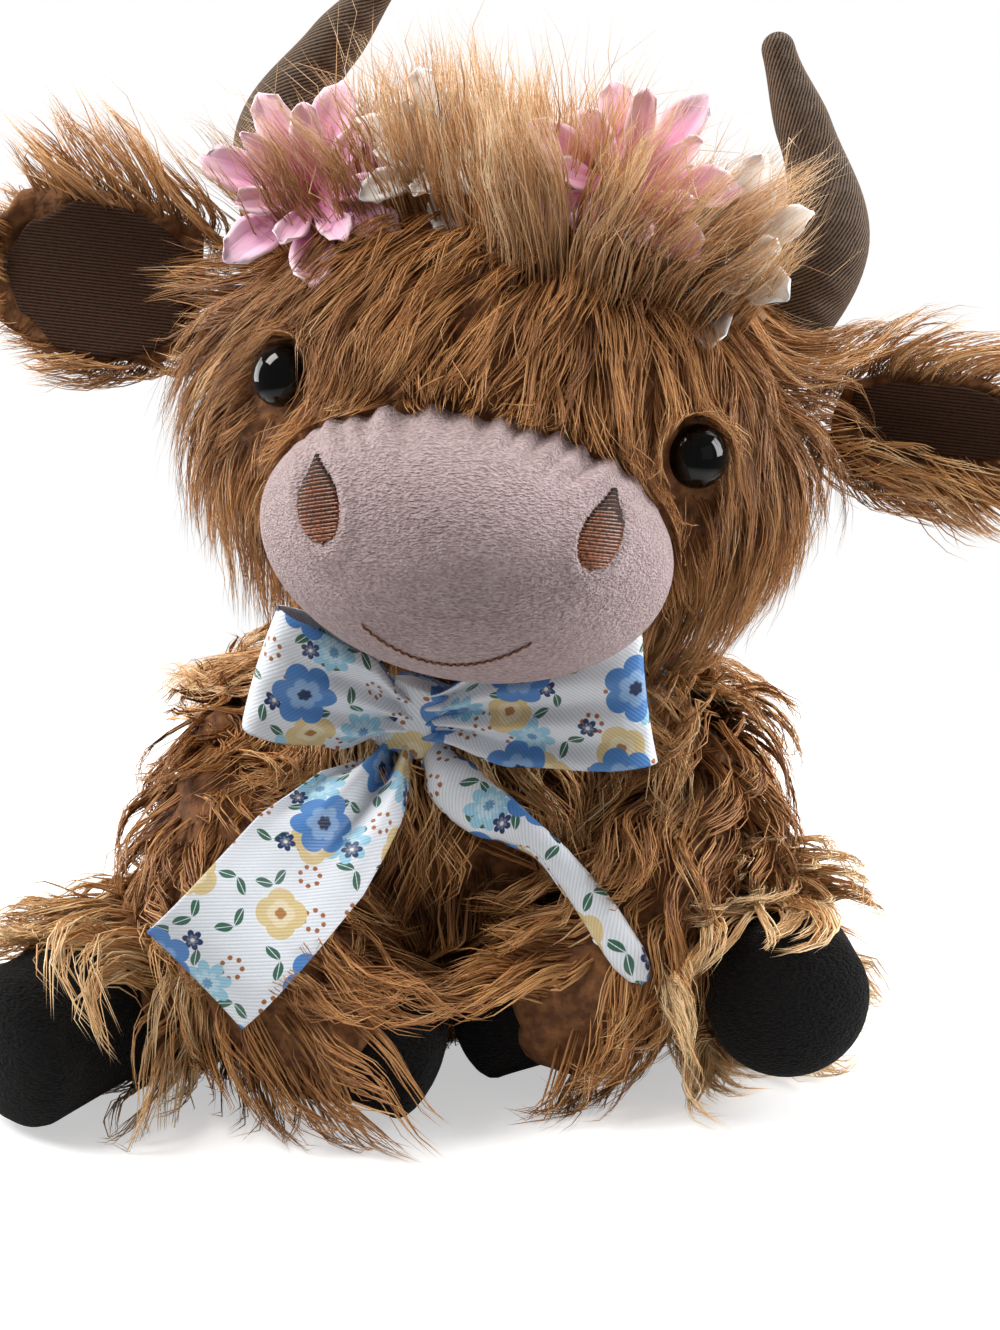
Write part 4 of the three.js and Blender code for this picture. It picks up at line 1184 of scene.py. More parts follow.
# An ear's skin: ovals along its length; the front half of each is pressed back into a cup.
def earSkin(word, side, grow):
    share = np.linspace(0.02, 0.98, 28)[:, None]
    angle = np.arange(40)[None] * 2 * math.pi / 40
    tall = earValues["heights"][word] / 2 * along(earValues["outline"], share) + grow
    thick = (earValues["thickness"] / 2 + grow) * np.sqrt(1 - (2 * share - 1) ** 2)
    z = tall * np.cos(angle)
    y = thick * np.sin(angle)
    cup = earValues["hollow"] * np.clip(1 - (z / (tall * earValues["cup"])) ** 2, 0, 1)
    y = np.where(np.sin(angle) < 0, y + cup * np.sqrt(1 - (2 * share - 1) ** 2), y)
    rings = np.stack([np.broadcast_to(side * share * earValues["length"], y.shape), y, z], axis=-1)
    ends = np.array([[0, 0, 0], [side * earValues["length"], 0, 0]])
    return ringSkin(earPlaced(word, rings), *earPlaced(word, ends))


for word, side in sides.items():
    skin = earSkin(word, side, -0.002)
    addSkin(f"ear{word.title()}Skin", skin, word + "_ear", skinValues["earFill"], "ear_" + word)
print("covers made")

# Ribbon bow

bowValues = {
    "width": 0.038,
    "thickness": 0.0005,
    "loopLength": 0.063,
    "loopGap": 0.008,
    "flares": {"left": 0.12, "right": 0.5},
    "fall": 0.100,
    "pressed": 0.6,
    "folds": 3,
    "bulge": 0.0009,
    "loopWidths": [[0, 0.3], [0.1, 0.36], [0.45, 0.82], [0.9, 0.98], [1, 1]],
    "roll": {
        "turns": [[0, 1.7], [0.14, 0.9], [0.3, 1.0], [0.5, 1.75], [0.78, 1.35], [1, 1.5]],
        "ends": [[0, 1], [0.92, 1], [0.97, 0.82], [1, 0.35]],
        "flats": [[0, 0.7], [0.3, 0.5], [0.55, 0.85], [1, 0.6]],
        "leans": [[0, 20], [0.35, 35], [0.7, 10], [1, 0]],
        "pitch": 0.22,
        "cut": 0.016,
    },
    "scale": 0.16,
    "printStep": 0.09,
    "roughness": 0.42,
    "clear": 0.0012,
}
knotMiddle = middleOf("bow_knot") + [-0.004, 0, -0.002]
# A loop's middle line: how far out from the knot, and how far back in loop gaps.
loopStations = [
    (0.02, -0.3),
    (0.1, -0.5),
    (0.45, -1),
    (0.9, -1.1),
    (1.0, -0.4),
    (0.88, 0.3),
    (0.42, 0.2),
    (0.1, 0),
    (0.02, 0),
]
loopWays = {"left": np.array([1.12, -0.2, 0.19]), "right": np.array([-0.66, -0.26, 0.30])}
# A tail's middle line: places across and up from the knot in shares of its fall, its width there,
# and the way across it.
tailStations = {
    "right": [
        (-0.045, -0.08, 0.2, 1, 0),
        (-0.12, -0.18, 0.72, 1, -0.6),
        (-0.25, -0.32, 0.98, 1, -0.8),
        (-0.38, -0.455, 1, 0.9, -0.9),
        (-0.51, -0.585, 1, 0.8, -0.85),
    ],
    "left": [
        (0.05, -0.09, 0.2, 1, 0),
        (0.17, -0.22, 0.34, 0.8, 1),
        (0.4, -0.31, 0.36, 0.6, 1),
        (0.58, -0.48, 0.28, 0.8, 1),
        (0.72, -0.65, 0.38, 1, 0.6),
    ],
}


# A ribbon's surface from its middle line, the way across it and its drawn-in width. Where it is
# drawn in, it folds in waves, deep enough to keep its whole width along the cloth.
def ribbonGrid(middles, across, widths, folds, columns=41):
    side = np.linspace(-0.5, 0.5, columns)
    across = unit(across)
    tangents = unit(np.gradient(middles, axis=0))
    facing = unit(np.cross(across, tangents))
    full = bowValues["width"]
    excess = np.clip((full / widths) ** 2 - 1, 0, None)
    depth = widths / (2 * math.pi * folds) * np.sqrt(2 * excess)
    wave = np.sin(2 * math.pi * folds * side[None] + 0.6) * depth[:, None]
    bow = bowValues["bulge"] * (1 - 4 * side[None] ** 2) * np.ones_like(wave)
    grid = middles[:, None] + across[:, None] * (side[None] * widths[:, None])[..., None]
    return grid + facing[:, None] * (wave + bow)[..., None]


# Length along and across the cloth at each point of a grid.
def clothPlaces(grid):
    down = np.linalg.norm(np.diff(grid, axis=0), axis=2).mean(axis=1)
    lengths = np.concatenate([[0], np.cumsum(down)])
    side = np.linspace(0, bowValues["width"], grid.shape[1])
    return np.stack(np.meshgrid(lengths, side, indexing="ij"), axis=-1), lengths[-1]


# Places over a flat grid, from 0 to 1 down it and across it.
def flatPlaces(rows, columns):
    return np.stack(np.meshgrid(np.linspace(0, 1, rows), np.linspace(0, 1, columns), indexing="ij"), axis=-1)


# The name of the piece that stands for a node: its words run together.
def pieceName(node):
    first, *others = node.split("_")
    return first + "".join(word.title() for word in others)


# A part of the bow as a thick sheet, on a place of its own in the print.
def addRibbon(node, index, body):
    grid = ribbonGrids[node]
    places, length = clothPlaces(grid)
    pairs = places / bowValues["scale"]
    pairs[..., 1] += bowValues["printStep"] * index
    skin = sheetSkin(grid, bowValues["thickness"], pairs)
    piece = addPiece(pieceName(node), skin, body, "ribbon", ribbonMaterial, node, smooth=False)
    return piece


# A loop's sheet: out from the knot and back, standing up and narrow near the knot.
def loopGrid(word):
    way = loopWays[word]
    out, gap = np.array(loopStations).T
    middles = knotMiddle + way * (out * bowValues["loopLength"])[:, None]
    middles[:, 1] += gap * bowValues["loopGap"]
    middles = smoothPath(middles, 90)
    share = np.clip((middles - knotMiddle) @ way / (way @ way) / bowValues["loopLength"], 0, 1)
    widths = bowValues["width"] * along(bowValues["loopWidths"], share)
    across = np.repeat([[-way[0] * bowValues["flares"][word], 0, 1.0]], len(middles), axis=0)
    return ribbonGrid(middles, across, widths, bowValues["folds"])


# A CAD node's mesh, for finding where a ray meets it.
def nodeTree(name):
    mesh = frame["nodes"][name].data
    corners = np.empty(len(mesh.vertices) * 3)
    mesh.vertices.foreach_get("co", corners)
    mesh.calc_loop_triangles()
    triangles = np.empty(len(mesh.loop_triangles) * 3, np.int32)
    mesh.loop_triangles.foreach_get("vertices", triangles)
    return BVHTree.FromPolygons(corners.reshape(-1, 3).tolist(), triangles.reshape(-1, 3).tolist())


# A tail's middle line: its stations, set at the depth of the CAD tail.
def tailGrid(word):
    stations = np.array(tailStations[word])
    over, up, width, acrossX, acrossZ = stations.T
    places = knotMiddle + np.stack([over, over * 0, up], axis=1) * bowValues["fall"]
    tree = nodeTree("bow_tail_" + word)
    ray = Vector((0, 1, 0))
    spine = smoothPath(places, 9)
    hits = [tree.ray_cast(Vector((x, -0.4, z)), ray)[0] for x, _, z in spine]
    known = np.array([hit is not None for hit in hits])
    depths = np.array([hit.y if hit is not None else 0 for hit in hits])
    spine[:, 1] = np.interp(np.arange(9), np.arange(9)[known], depths[known])
    spine[0, 1] = knotMiddle[1]
    middles = smoothPath(spine, 90)
    fine = np.linspace(0, 1, 90)
    coarse = np.linspace(0, 1, len(stations))
    across = np.stack([np.interp(fine, coarse, acrossX), fine * 0, np.interp(fine, coarse, acrossZ)], axis=1)
    if word == "left":
        return rolledGrid(middles, across)
    return ribbonGrid(middles, across, np.interp(fine, coarse, width) * bowValues["width"], 2)


# Blossoms of the print from the lowest to the highest: what their group is given, and colours of
# the heart and the petals.
bloomInputs = ("Cell", "Turn", "Seed", "Size", "Petals", "Notch", "Odds")
printLayers = [
    (25, 0.5, 3.3, 7.2, 8, 0.42, 0.8, (0.42, 0.62, 0.78), (0.62, 0.82, 0.91)),
    (27, -0.35, 7.1, 7.4, 4, 0.22, 0.62, (0.70, 0.50, 0.28), (0.88, 0.79, 0.58)),
    (19, 1.1, 1.7, 3.0, 6, 0.5, 0.45, (0.93, 0.90, 0.82), (0.12, 0.20, 0.38)),
    (31, 0.15, 5.4, 9.8, 6, 0.26, 0.78, (0.10, 0.17, 0.33), (0.32, 0.54, 0.80)),
]
printGround = linear(0.92, 0.94, 0.965)
printLeaves = linear(0.22, 0.42, 0.34)
printDots = linear(0.66, 0.40, 0.22)
printSprigs = {"Cell": 12.0, "Turn": 0.8, "Seed": 9.2, "Odds": 0.6}
printWay = (0.72, 0.72, 0.0)


# A blossom's colours from its heart to its rim, with a light ring round the heart.
def bloomStops(heart, petal):
    light = tuple(0.35 + 0.65 * channel for channel in petal)
    stops = [(0.0, heart), (0.2, heart), (0.26, light), (0.5, light), (0.6, petal)]
    return [(place, linear(*colour)) for place, colour in stops]


# The print on white twill: leaves and dots, then the blossoms one over the other.
def makeRibbonMaterial(name, scale, useUv):
    material, tree, shader = newMaterial(name, bowValues["roughness"])
    flat = timesScale(mapPlace(tree) if useUv else objectPlace(tree), scale)
    if not useUv:
        flat = rotated(flat, math.pi / 2, "X_AXIS")
    sprig = useGroup(tree, sprigGroup, {"Place": flat, **printSprigs})
    colour = mixed(tree, sprig["Leaves"], printGround, printLeaves)
    colour = mixed(tree, sprig["Dots"], colour, printDots)
    for *layer, heart, petal in printLayers:
        bloom = useGroup(tree, bloomGroup, {"Place": flat, **dict(zip(bloomInputs, layer))})
        colour = mixed(tree, bloom["Shape"], colour, ramp(bloom["Core"], bloomStops(heart, petal)))
    line = useGroup(tree, twillGroup, {"Place": flat, "Way": printWay})["Line"]
    shade = ramp(line, [(0.0, (0.80, 0.81, 0.84, 1)), (0.6, grey(1))])
    put(shader.inputs["Base Color"], mixed(tree, 1.0, colour, shade, "MULTIPLY"))
    addBump(shader, line, 0.25, 0.0002)
    return material


ribbonMaterial = makeRibbonMaterial("ribbonPrint", bowValues["scale"] * 1000, True)
bandMaterial = makeRibbonMaterial("ribbonBandPrint", 1000.0, False)


# The rolled tail: across it, the cloth winds into a roll that keeps its whole width. Its turns
# and its flatness change along it, and its corners are cut round.
def rolledGrid(middles, across, columns=61):
    values = bowValues["roll"]
    share = np.linspace(0, 1, len(middles))
    turns = along(values["turns"], share)[:, None] * 2 * math.pi
    flat = along(values["flats"], share)[:, None]
    angle = np.linspace(-0.5, 0.5, columns)[None] * turns
    swell = 1 + values["pitch"] * (angle / turns + 0.5)
    x, y = np.sin(angle) * swell, -np.cos(angle) * swell * flat
    whole = np.hypot(np.diff(x, axis=1), np.diff(y, axis=1)).sum(axis=1)
    size = (bowValues["width"] * along(values["ends"], share) / whole)[:, None]
    tangents = unit(np.gradient(middles, axis=0))
    across = unit(across - tangents * (across * tangents).sum(axis=1)[:, None])
    facing = unit(np.cross(across, tangents))
    facing *= np.where(facing[:, 1] < 0, -1, 1)[:, None]
    lean = np.radians(along(values["leans"], share))[:, None]
    wide = across * np.cos(lean) + facing * np.sin(lean)
    deep = facing * np.cos(lean) - across * np.sin(lean)
    grid = middles[:, None] + wide[:, None] * (x * size)[..., None] + deep[:, None] * (y * size)[..., None]
    cut = values["cut"] * np.abs(np.linspace(-1, 1, columns)) ** 2.5
    back = share[:, None] ** 6 * cut[None]
    return grid - tangents[:, None] * back[..., None]


ribbonGrids = {}
for word in sides:
    ribbonGrids["bow_loop_" + word] = loopGrid(word)
    ribbonGrids["bow_tail_" + word] = tailGrid(word)
for index, word in enumerate(sides):
    loop = addRibbon("bow_loop_" + word, index, "torso")
    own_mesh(loop)
for index, word in enumerate(sides):
    tail = addRibbon("bow_tail_" + word, index + 2, None)
    grid = ribbonGrids["bow_tail_" + word]
    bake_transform(tail)


# Which cell of a millimetre grid, seen from the front, each point lies in.
def veilCells(points):
    return ((points[..., [0, 2]] + [0.2, 0.0]) * 1000).astype(int).reshape(-1, 2).clip(0, 399).T


# The bow as seen from the front: how far back its cloth reaches over each millimetre.
veil = np.full((400, 400), -1.0)
for grid in ribbonGrids.values():
    fine = np.concatenate([grid, (grid[1:] + grid[:-1]) / 2])
    np.maximum.at(veil, tuple(veilCells(fine)), fine[..., 1].ravel())


# Points in front of the bow's cloth or within it are set behind it.
def behindBow(points):
    back = veil[tuple(veilCells(points))]
    hidden = (back > -0.9) & (points[:, 1] > back - 0.03)
    behind = np.maximum(points[:, 1], back + bowValues["clear"])
    points[:, 1] = np.where(hidden, behind, points[:, 1])
    return points


print("bow tied")

# Pile

# Lengths in metres; the others are shares, angles in radians and counts. A piece's own values
# stand in place of these.
pileValues = {
    "seed": 5,
    "steps": 24,
    "root": 0.0105,
    "floor": 0.0008,
    "stiff": 0.80,
    "hug": 0.55,
    "rise": 0.008,
    "curl": 0.5,
    "tousle": 0.22,
    "driftSize": 0.022,
    "perLock": 5,
    "gather": 0.6,
    "gatherPower": 0.8,
    "clump": 0.45,
    "clumpPower": 0.9,
    "loose": 0.15,
    "looseClump": 0.35,
    "looseStray": 3.2,
    "stray": 0.0007,
    "shortest": 0.62,
    "lengthSpread": (0.72, 1.15),
    "waveSpread": (0.5, 1.4),
    "waveLift": 0.55,
    "margin": 0.012,
    "tone": 0.5,
    "toneSpread": 0.11,
    "lockSpread": 0.10,
    "drift": 0.05,
    "width": 0.00068,
    "widthSpread": (0.6, 1.35),
    "thinning": 0.85,
    "flat": 0.5,
    "rings": 8,
}
headPile = {
    **pileValues,
    "locks": 1500,
    "length": 0.050,
    "wave": 0.0026,
    "waveLength": 0.042,
    "curl": 0.8,
    "tousle": 0.2,
    "gather": 0.5,
    "gatherPower": 1.5,
    "clump": 0.35,
    "loose": 0.25,
    "rings": 7,
    "width": 0.00056,
}
bodyPile = {
    **pileValues,
    "locks": 1200,
    "perLock": 7,
    "gather": 0.68,
    "length": 0.064,
    "wave": 0.0085,
    "waveLength": 0.044,
    "curl": 2.6,
    "rise": 0.009,
    "rings": 7,
    "width": 0.00082,
    "loose": 0.1,
    "stray": 0.0006,
    "tone": 0.62,
}


headValues = {
    "parting": 0.116,
    "partingFalls": (0.35, 0.1),
    "partingDrift": 0.010,
    "overlap": 0.020,
    "eyeRoom": 0.0106,
    "nape": 0.012,
    "crown": (0.0, 0.006, 0.142),
    "fan": 9,
    "hang": 0.65,
    "browHang": 0.845,
    "fall": (0.55, 0.9, 0.5),
    "earReach": (0.026, 0.050),
}


# How far a place lies above the parting, a line that wanders.
def crownHeight(points):
    local = headLocal(points)
    ahead, aside = headValues["partingFalls"]
    height = local[:, 2] - ahead * np.abs(local[:, 1] + 0.02) - aside * np.abs(local[:, 0])
    return height - headValues["parting"] - wander(points, 0.009, 19)[:, 0] * headValues["partingDrift"]


# Above the parting the pile stands up and fans out. Below it, it falls away from the crown on all
# sides, and hangs straighter down over the cheeks and the brow. Over the tops of the ears it
# sweeps out along them.
def headComb(standing):
    def comb(points):
        local = headLocal(points)
        if standing:
            way = np.tile([0, -0.5, 1.0], (len(local), 1))
            way[:, 0] = local[:, 0] * headValues["fan"]
        else:
            low = smooth(0.035, 0.07, np.abs(local[:, 0])) * (1 - smooth(0.05, 0.09, local[:, 2]))
            brow = (1 - smooth(0.055, 0.088, np.abs(local[:, 0]))) * smooth(-0.01, 0.025, -local[:, 1])
            way = unit(local - np.array(headValues["crown"]))
            way[:, 0] *= 1 - np.maximum(headValues["hang"] * low, headValues["browHang"] * brow)
            way[:, 1] -= 0.12
            fall, cheekFall, browFall = headValues["fall"]
            way[:, 2] -= fall + cheekFall * low + browFall * brow
        way = unit(way)
        for word, side in sides.items():
            near = earLocal(word, points)
            spread = 0.12 + near[:, 2] * earValues["spreads"][word]
            out = np.stack([np.full(len(near), side * 1.0), near[:, 1] * 5, spread], axis=1)
            share = 1 - smooth(*headValues["earReach"], np.linalg.norm(near, axis=1))
            share = (share * smooth(-0.012, 0.010, near[:, 2]))[:, None]
            way = unit(way * (1 - share) + unit(out) * share)
        return way @ headTurn.T

    return comb


# How far each point is from the nearer eye.
def eyeDistance(points):
    return np.min([np.linalg.norm(points - place, axis=1) for place, _ in eyePlaces.values()], axis=0)


# Hair lengths over the head: longer on the cheeks, short over the muzzle and round the eyes.
def headLengths(points):
    local = headLocal(points)
    cheek = 1 + 0.05 * smooth(0.040, 0.075, np.abs(local[:, 0])) * (1 - smooth(0.07, 0.10, local[:, 2]))
    near = smooth(0.004, 0.04, ballSense(muzzleBall, points)[0])
    muzzle = np.where(local[:, 2] > 0.035, 0.28 + 1.1 * near, 1.5)
    eye = 0.38 + 1.0 * smooth(0.010, 0.036, eyeDistance(points))
    return np.minimum(np.minimum(cheek, muzzle), eye)


# Regions of the head's pile: none grows under the muzzle or the eyes. The crown's overlaps what
# lies below the parting, which is the face's two sides and the nape.
def headKept(points):
    return (ballSense(muzzleBall, points)[0] > -0.001) & (eyeDistance(points) > headValues["eyeRoom"])


def crownRegion(points, normals, margin):
    return headKept(points) & (crownHeight(points) > -headValues["overlap"] - margin)


def faceRegion(side):
    def keep(points, normals, margin):
        local = headLocal(points)
        kept = headKept(points) & (crownHeight(points) < margin)
        return kept & (local[:, 1] < headValues["nape"] + margin) & (local[:, 0] * side > -margin)

    return keep


def napeRegion(points, normals, margin):
    local = headLocal(points)
    return (crownHeight(points) < margin) & (local[:, 1] > headValues["nape"] - margin)


crownPile = {
    "strands": 4600,
    "seed": 21,
    "length": 0.060,
    "stiff": 0.80,
    "hug": 0.0,
    "tone": 0.6,
    "tousle": 0.35,
    "gather": 0.35,
    "stray": 0.0018,
    "width": 0.00055,
}
facePile = {"strands": 5400, "rise": 0.0055, "stiff": 0.8, "hug": 0.6, "lengthOf": headLengths}
napePile = {"strands": 5000, "seed": 24, "rings": 6, "width": 0.0009, "length": 0.050}
# What the head's pile keeps clear of, and by how much.
headOthers = [(muzzleBall, 0.0025)]
headOthers += [(room, 0.0) for room in eyeRooms]
headOthers += [(horn, 0.0008) for horn in horns.values()]
growFur(
    "crownPile",
    headBall,
    "head",
    {**headPile, **crownPile},
    headComb(True),
    crownRegion,
    headOthers,
    material="crownFur",
)
for word, side in sides.items():
    growFur(
        "facePile" + word.title(),
        headBall,
        "head",
        {**headPile, **facePile, "seed": 22 + side},
        headComb(False),
        faceRegion(side),
        headOthers,
        behindBow,
    )
growFur("napePile", headBall, "head", {**headPile, **napePile}, headComb(False), napeRegion, headOthers)
print("head furred")


torsoLook = {"pale": 0.14, "dark": 0.36, "out": (0.35, 1.1), "up": 0.7, "middle": 0.005}


# The chest's pile is a step paler all over, over the shoulders too; low between the front legs it is darker,
# painted shade where the head and legs shadow it.
def torsoShadedTones(points):
    within = (1 - smooth(0.035, 0.07, np.abs(points[:, 0]))) * (1 - smooth(0.07, 0.12, points[:, 2]))
    return torsoLook["pale"] - torsoLook["dark"] * within


# Down the body; over the shoulders the pile first stands out and up.
def torsoComb(points):
    away = unit(points * [1, 1, 0] - [0, 0.01, 0])
    high = smooth(0.075, 0.105, points[:, 2]) * smooth(0.035, 0.065, np.abs(points[:, 0]))
    out, shoulderOut = torsoLook["out"]
    way = away * (out + shoulderOut * high)[:, None]
    way[:, 2] += torsoLook["up"] * high - 1
    return way


# The torso's front or back, apart from what the head and legs cover and the seat.
def torsoRegion(front):
    def keep(points, normals, margin):
        kept = ballSense(headBall, points)[0] > -0.004
        for limb in limbs.values():
            kept = kept & (limbSense(limb, points)[0] > -0.015)
        behind = points[:, 1] - torsoLook["middle"]
        side = behind < margin if front else behind > -margin
        return kept & side & (normals[:, 2] > -0.75)

    return keep


chestPile = {"strands": 5800, "seed": 31, "toneOf": torsoShadedTones}
backPile = {"strands": 4400, "seed": 32, "rings": 6, "width": 0.0011, "length": 0.058}
# What the torso's pile keeps clear of, and by how much.
torsoOthers = [(hoof, 0.001) for hoof in hooves.values()]
torsoOthers += [(limbs["front_leg_" + word], 0.003) for word in sides]
front, back = torsoRegion(True), torsoRegion(False)
growFur("chestPile", torsoBall, "torso", {**bodyPile, **chestPile}, torsoComb, front, torsoOthers, behindBow)
growFur("backPile", torsoBall, "torso", {**bodyPile, **backPile}, torsoComb, back, torsoOthers)


# Down a limb, with gravity: the slope of the path at its nearest point.
def limbComb(limb, fall):
    def comb(points):
        return limb["tangents"][nearestOn(limb, points)] + np.array([0, 0, -fall])

    return comb


# The pile of the tail grows all over it.
def anywhere(points, normals, margin):
    return np.ones(len(points), bool)


# Front legs are painted darker for the shade under the head and body, and hind legs paler for the light on
# their outer sides: painted shade and light.
legShadedTones = {"front": 0.42, "hind": 0.84}
cuffOverlap = 0.04


# The nearest point of a limb's path to each point, and how far the point faces a given way.
def limbSide(limb, points, way):
    nearest = nearestOn(limb, points)
    return nearest, unit(points - limb["path"][nearest]) @ unit(np.array(way, float))


# Pile lengths along a leg: towards the cuff they change to shares of their own, one for the side
# from which hair falls over the hoof and one for the rest.
def legLengths(limb, cuff, rest, over, way):
    def lengthOf(points):
        nearest, side = limbSide(limb, points, way)
        atCuff = rest + (over - rest) * smooth(-0.1, 0.7, side)
        return 1 + (atCuff - 1) * smooth(cuff - 0.4, cuff, nearest / (len(limb["path"]) - 1))

    return lengthOf


# Each leg's strands and locks, the shares of their length that hairs have at the cuff, the side
# from which they fall over the hoof, and how far down that side they still grow.
legPile = {
    "front_leg_left": (4600, 520, 0.55, 0.5, (1, 0, 1), 0),
    "front_leg_right": (4600, 520, 0.8, 1.1, (0.3, 0, 1), 0.86),
    "hind_leg_left": (3600, 480, 0.7, 0.85, (-0.8, 0, 0.6), 0.94),
    "hind_leg_right": (3600, 480, 0.75, 1.0, (0.1, 0, 1), 0.76),
}


# The pile of a leg reaches past its cuff, farthest on the side from which it falls over the hoof.
def legRegion(limb, cuff, way, reach):
    def keep(points, normals, margin):
        nearest, side = limbSide(limb, points, way)
        share = nearest / (len(limb["path"]) - 1)
        kept = (share < cuff + cuffOverlap) | ((share < reach) & (side > 0.3))
        return kept & (ballSense(torsoBall, points)[0] > -0.006)

    return keep


for name, (strands, locks, rest, over, way, reach) in legPile.items():
    pair, _, word = name.split("_")
    limb = limbs[name]
    cuff = cuffShare(limb, hoofValues[pair]["length"])
    own = {"strands": strands, "locks": locks, "length": 0.048, "seed": 40, "tone": legShadedTones[pair]}
    own["span"] = (0.0, max(cuff + cuffOverlap, reach))
    own["lengthOf"] = legLengths(limb, cuff, rest, over, way)
    growFur(
        f"{pair}Leg{word.title()}Pile",
        roundedLimb(limb),
        f"{word}_{pair}_leg",
        {**bodyPile, **own},
        limbComb(limb, 0.35),
        legRegion(limb, cuff, way, reach),
        [(hooves[f"{pair}_hoof_{word}"], 0.0012)],
        behindBow if pair == "front" else None,
    )
tailPile = {
    "strands": 1000,
    "rings": 6,
    "locks": 120,
    "span": (0.05, 1),
    "length": 0.034,
    "root": 0.0045,
    "seed": 50,
}
growFur("tailPile", tailLimb, "tail", {**bodyPile, **tailPile}, limbComb(tailLimb, 0.25), anywhere)


# An ear's pile runs out along it and away from its middle: up above, down below.
def earComb(word, side):
    def comb(points):
        local = earLocal(word, points)
        spread = np.where(local[:, 2] > 0, earValues["spreads"][word], 8)
        way = np.stack([np.full(len(local), side * 1.0), local[:, 1] * 8, 0.1 + local[:, 2] * spread], axis=1)
        return way @ headTurn.T

    return comb


# The back of an ear, and its rim round the lining.
def earRegion(word):
    tall = earValues["heights"][word] / 2
    low, high = earValues["linings"][word]

    def keep(points, normals, margin):
        x, y, z = earLocal(word, points).T
        rim = (z > tall * (high - 0.12)) | (z < tall * (low + 0.12)) | (np.abs(x) > 0.060)
        return (y > -0.002) | rim

    return keep


# An ear's hair shortens towards its tip, and is longer on the upper half.
def earLengths(word):
    def lengthOf(points):
        local = earLocal(word, points)
        short = smooth(0.030, 0.062, np.abs(local[:, 0])) * np.where(local[:, 2] > 0, 0.56, 0.74)
        return (1 - short) * np.where(local[:, 2] > 0, 1.1, 0.75)

    return lengthOf


earPile = {
    "strands": 1900,
    "rings": 6,
    "locks": 260,
    "length": 0.038,
    "root": 0.003,
    "hug": 0.35,
    "seed": 60,
    "rise": 0.003,
    "tone": 0.6,
}
for word, side in sides.items():
    growFur(
        f"ear{word.title()}Pile",
        earBall(word, side),
        word + "_ear",
        {**headPile, **earPile, "lengthOf": earLengths(word)},
        earComb(word, side),
        earRegion(word),
    )
print("body furred")


# Muzzle

muzzleValues = {
    "wrap": 128,
    "rings": 79,
    "around": 220,
    "gathers": 0.0019,
    "gatherWaves": (38, 21),
    "fill": 0.8,
    "roughness": 0.85,
    "sheen": 0.12,
}
stitchValues = {
    "left": {"x": 0.0395, "z": 0.0540, "lean": -4, "width": 0.0104, "height": 0.0180},
    "right": {"x": -0.0363, "z": 0.0480, "lean": 22, "width": 0.0126, "height": 0.0205},
    "rows": 23,
    "widest": -0.2,
    "thread": 0.00095,
    "puff": 0.0009,
    "sunk": 0.0006,
    "lift": 0.0004,
    "under": {"up": 0.0003, "deeper": 0.0008, "thicker": 1.9},
    "mouth": {
        "x": 0.004,
        "width": 0.046,
        "z": 0.0200,
        "sag": 0.0095,
        "rise": 0.1,
        "stitches": 21,
        "thread": 0.00065,
        "lift": 0.0007,
    },
}


# Round each nostril the velour puffs up, and under its stitches it is pulled in.
def drawnIn(local):
    rise = np.zeros(len(local))
    for word in sides:
        values = stitchValues[word]
        lean = math.radians(values["lean"])
        x, z = local[:, 0] - values["x"], local[:, 2] - values["z"]
        across = (x * math.cos(lean) + z * math.sin(lean)) / (values["width"] / 2)
        up = (z * math.cos(lean) - x * math.sin(lean)) / (values["height"] / 2)
        away = np.hypot(across, up)
        rise += stitchValues["puff"] * np.exp(-(((away - 1.35) / 0.4) ** 2))
        rise -= stitchValues["sunk"] * (1 - smooth(0.8, 1.1, away))
    return np.where(local[:, 1] < -0.03, rise, 0)


# Rings round the way the muzzle faces, from its front to its seam, with gathers under the brow.
def muzzleSkin():
    ball, count, around = muzzleBall, muzzleValues["rings"], muzzleValues["around"]
    turn = np.linspace(0, math.radians(muzzleValues["wrap"]), count + 1)[1:, None]
    angle = np.arange(around)[None] * 2 * math.pi / around
    directions = np.empty((count, around, 3))
    directions[..., 0] = np.sin(turn) * np.cos(angle)
    directions[..., 1] = -np.cos(turn)
    directions[..., 2] = np.sin(turn) * np.sin(angle)
    points, normals = ballSurface(ball, directions.reshape(-1, 3))
    high = smooth(0.35, 0.9, np.sin(angle)) * smooth(0.7, 1.35, turn)
    fine, coarse = muzzleValues["gatherWaves"]
    wave = np.sin(angle * fine + 2.2 * np.sin(angle * 5)) * 0.6 + np.sin(angle * coarse + 2) * 0.4
    rise = (wave * high * muzzleValues["gathers"]).reshape(-1, 1) + drawnIn(headLocal(points))[:, None]
    rings = (points + normals * rise).reshape(count, around, 3)
    front = ballSurface(ball, np.array([[0, -1.0, 0]]))[0][0]
    back = rings[-1].mean(axis=0)
    return ringSkin(rings, front, back)


# Velour: short nap brushed this way and that; the patches where it catches more or less light are painted
# into its colour, lighter and darker, as painted sheen.
def velourMaterial(name, dark, light, roughness, sheen):
    values = {"Sheen Weight": sheen, "Sheen Roughness": 0.4, "Specular IOR Level": 0.2}
    material, tree, shader = newMaterial(name, roughness, values)
    place = objectPlace(tree)
    brushed = vectorMath("MULTIPLY", place, (0.6, 0.8, 1.35))
    patches = noiseAt(place, 230.0, 2.0, more={"Distortion": 1.2})
    both = noiseAt(brushed, 1300.0, 2.0) * 0.75 + patches * 0.25
    put(shader.inputs["Base Color"], ramp(both, [(0.36, linear(*dark)), (0.62, linear(*light))]))
    addBump(shader, both, 1.0, 0.0018)
    return material


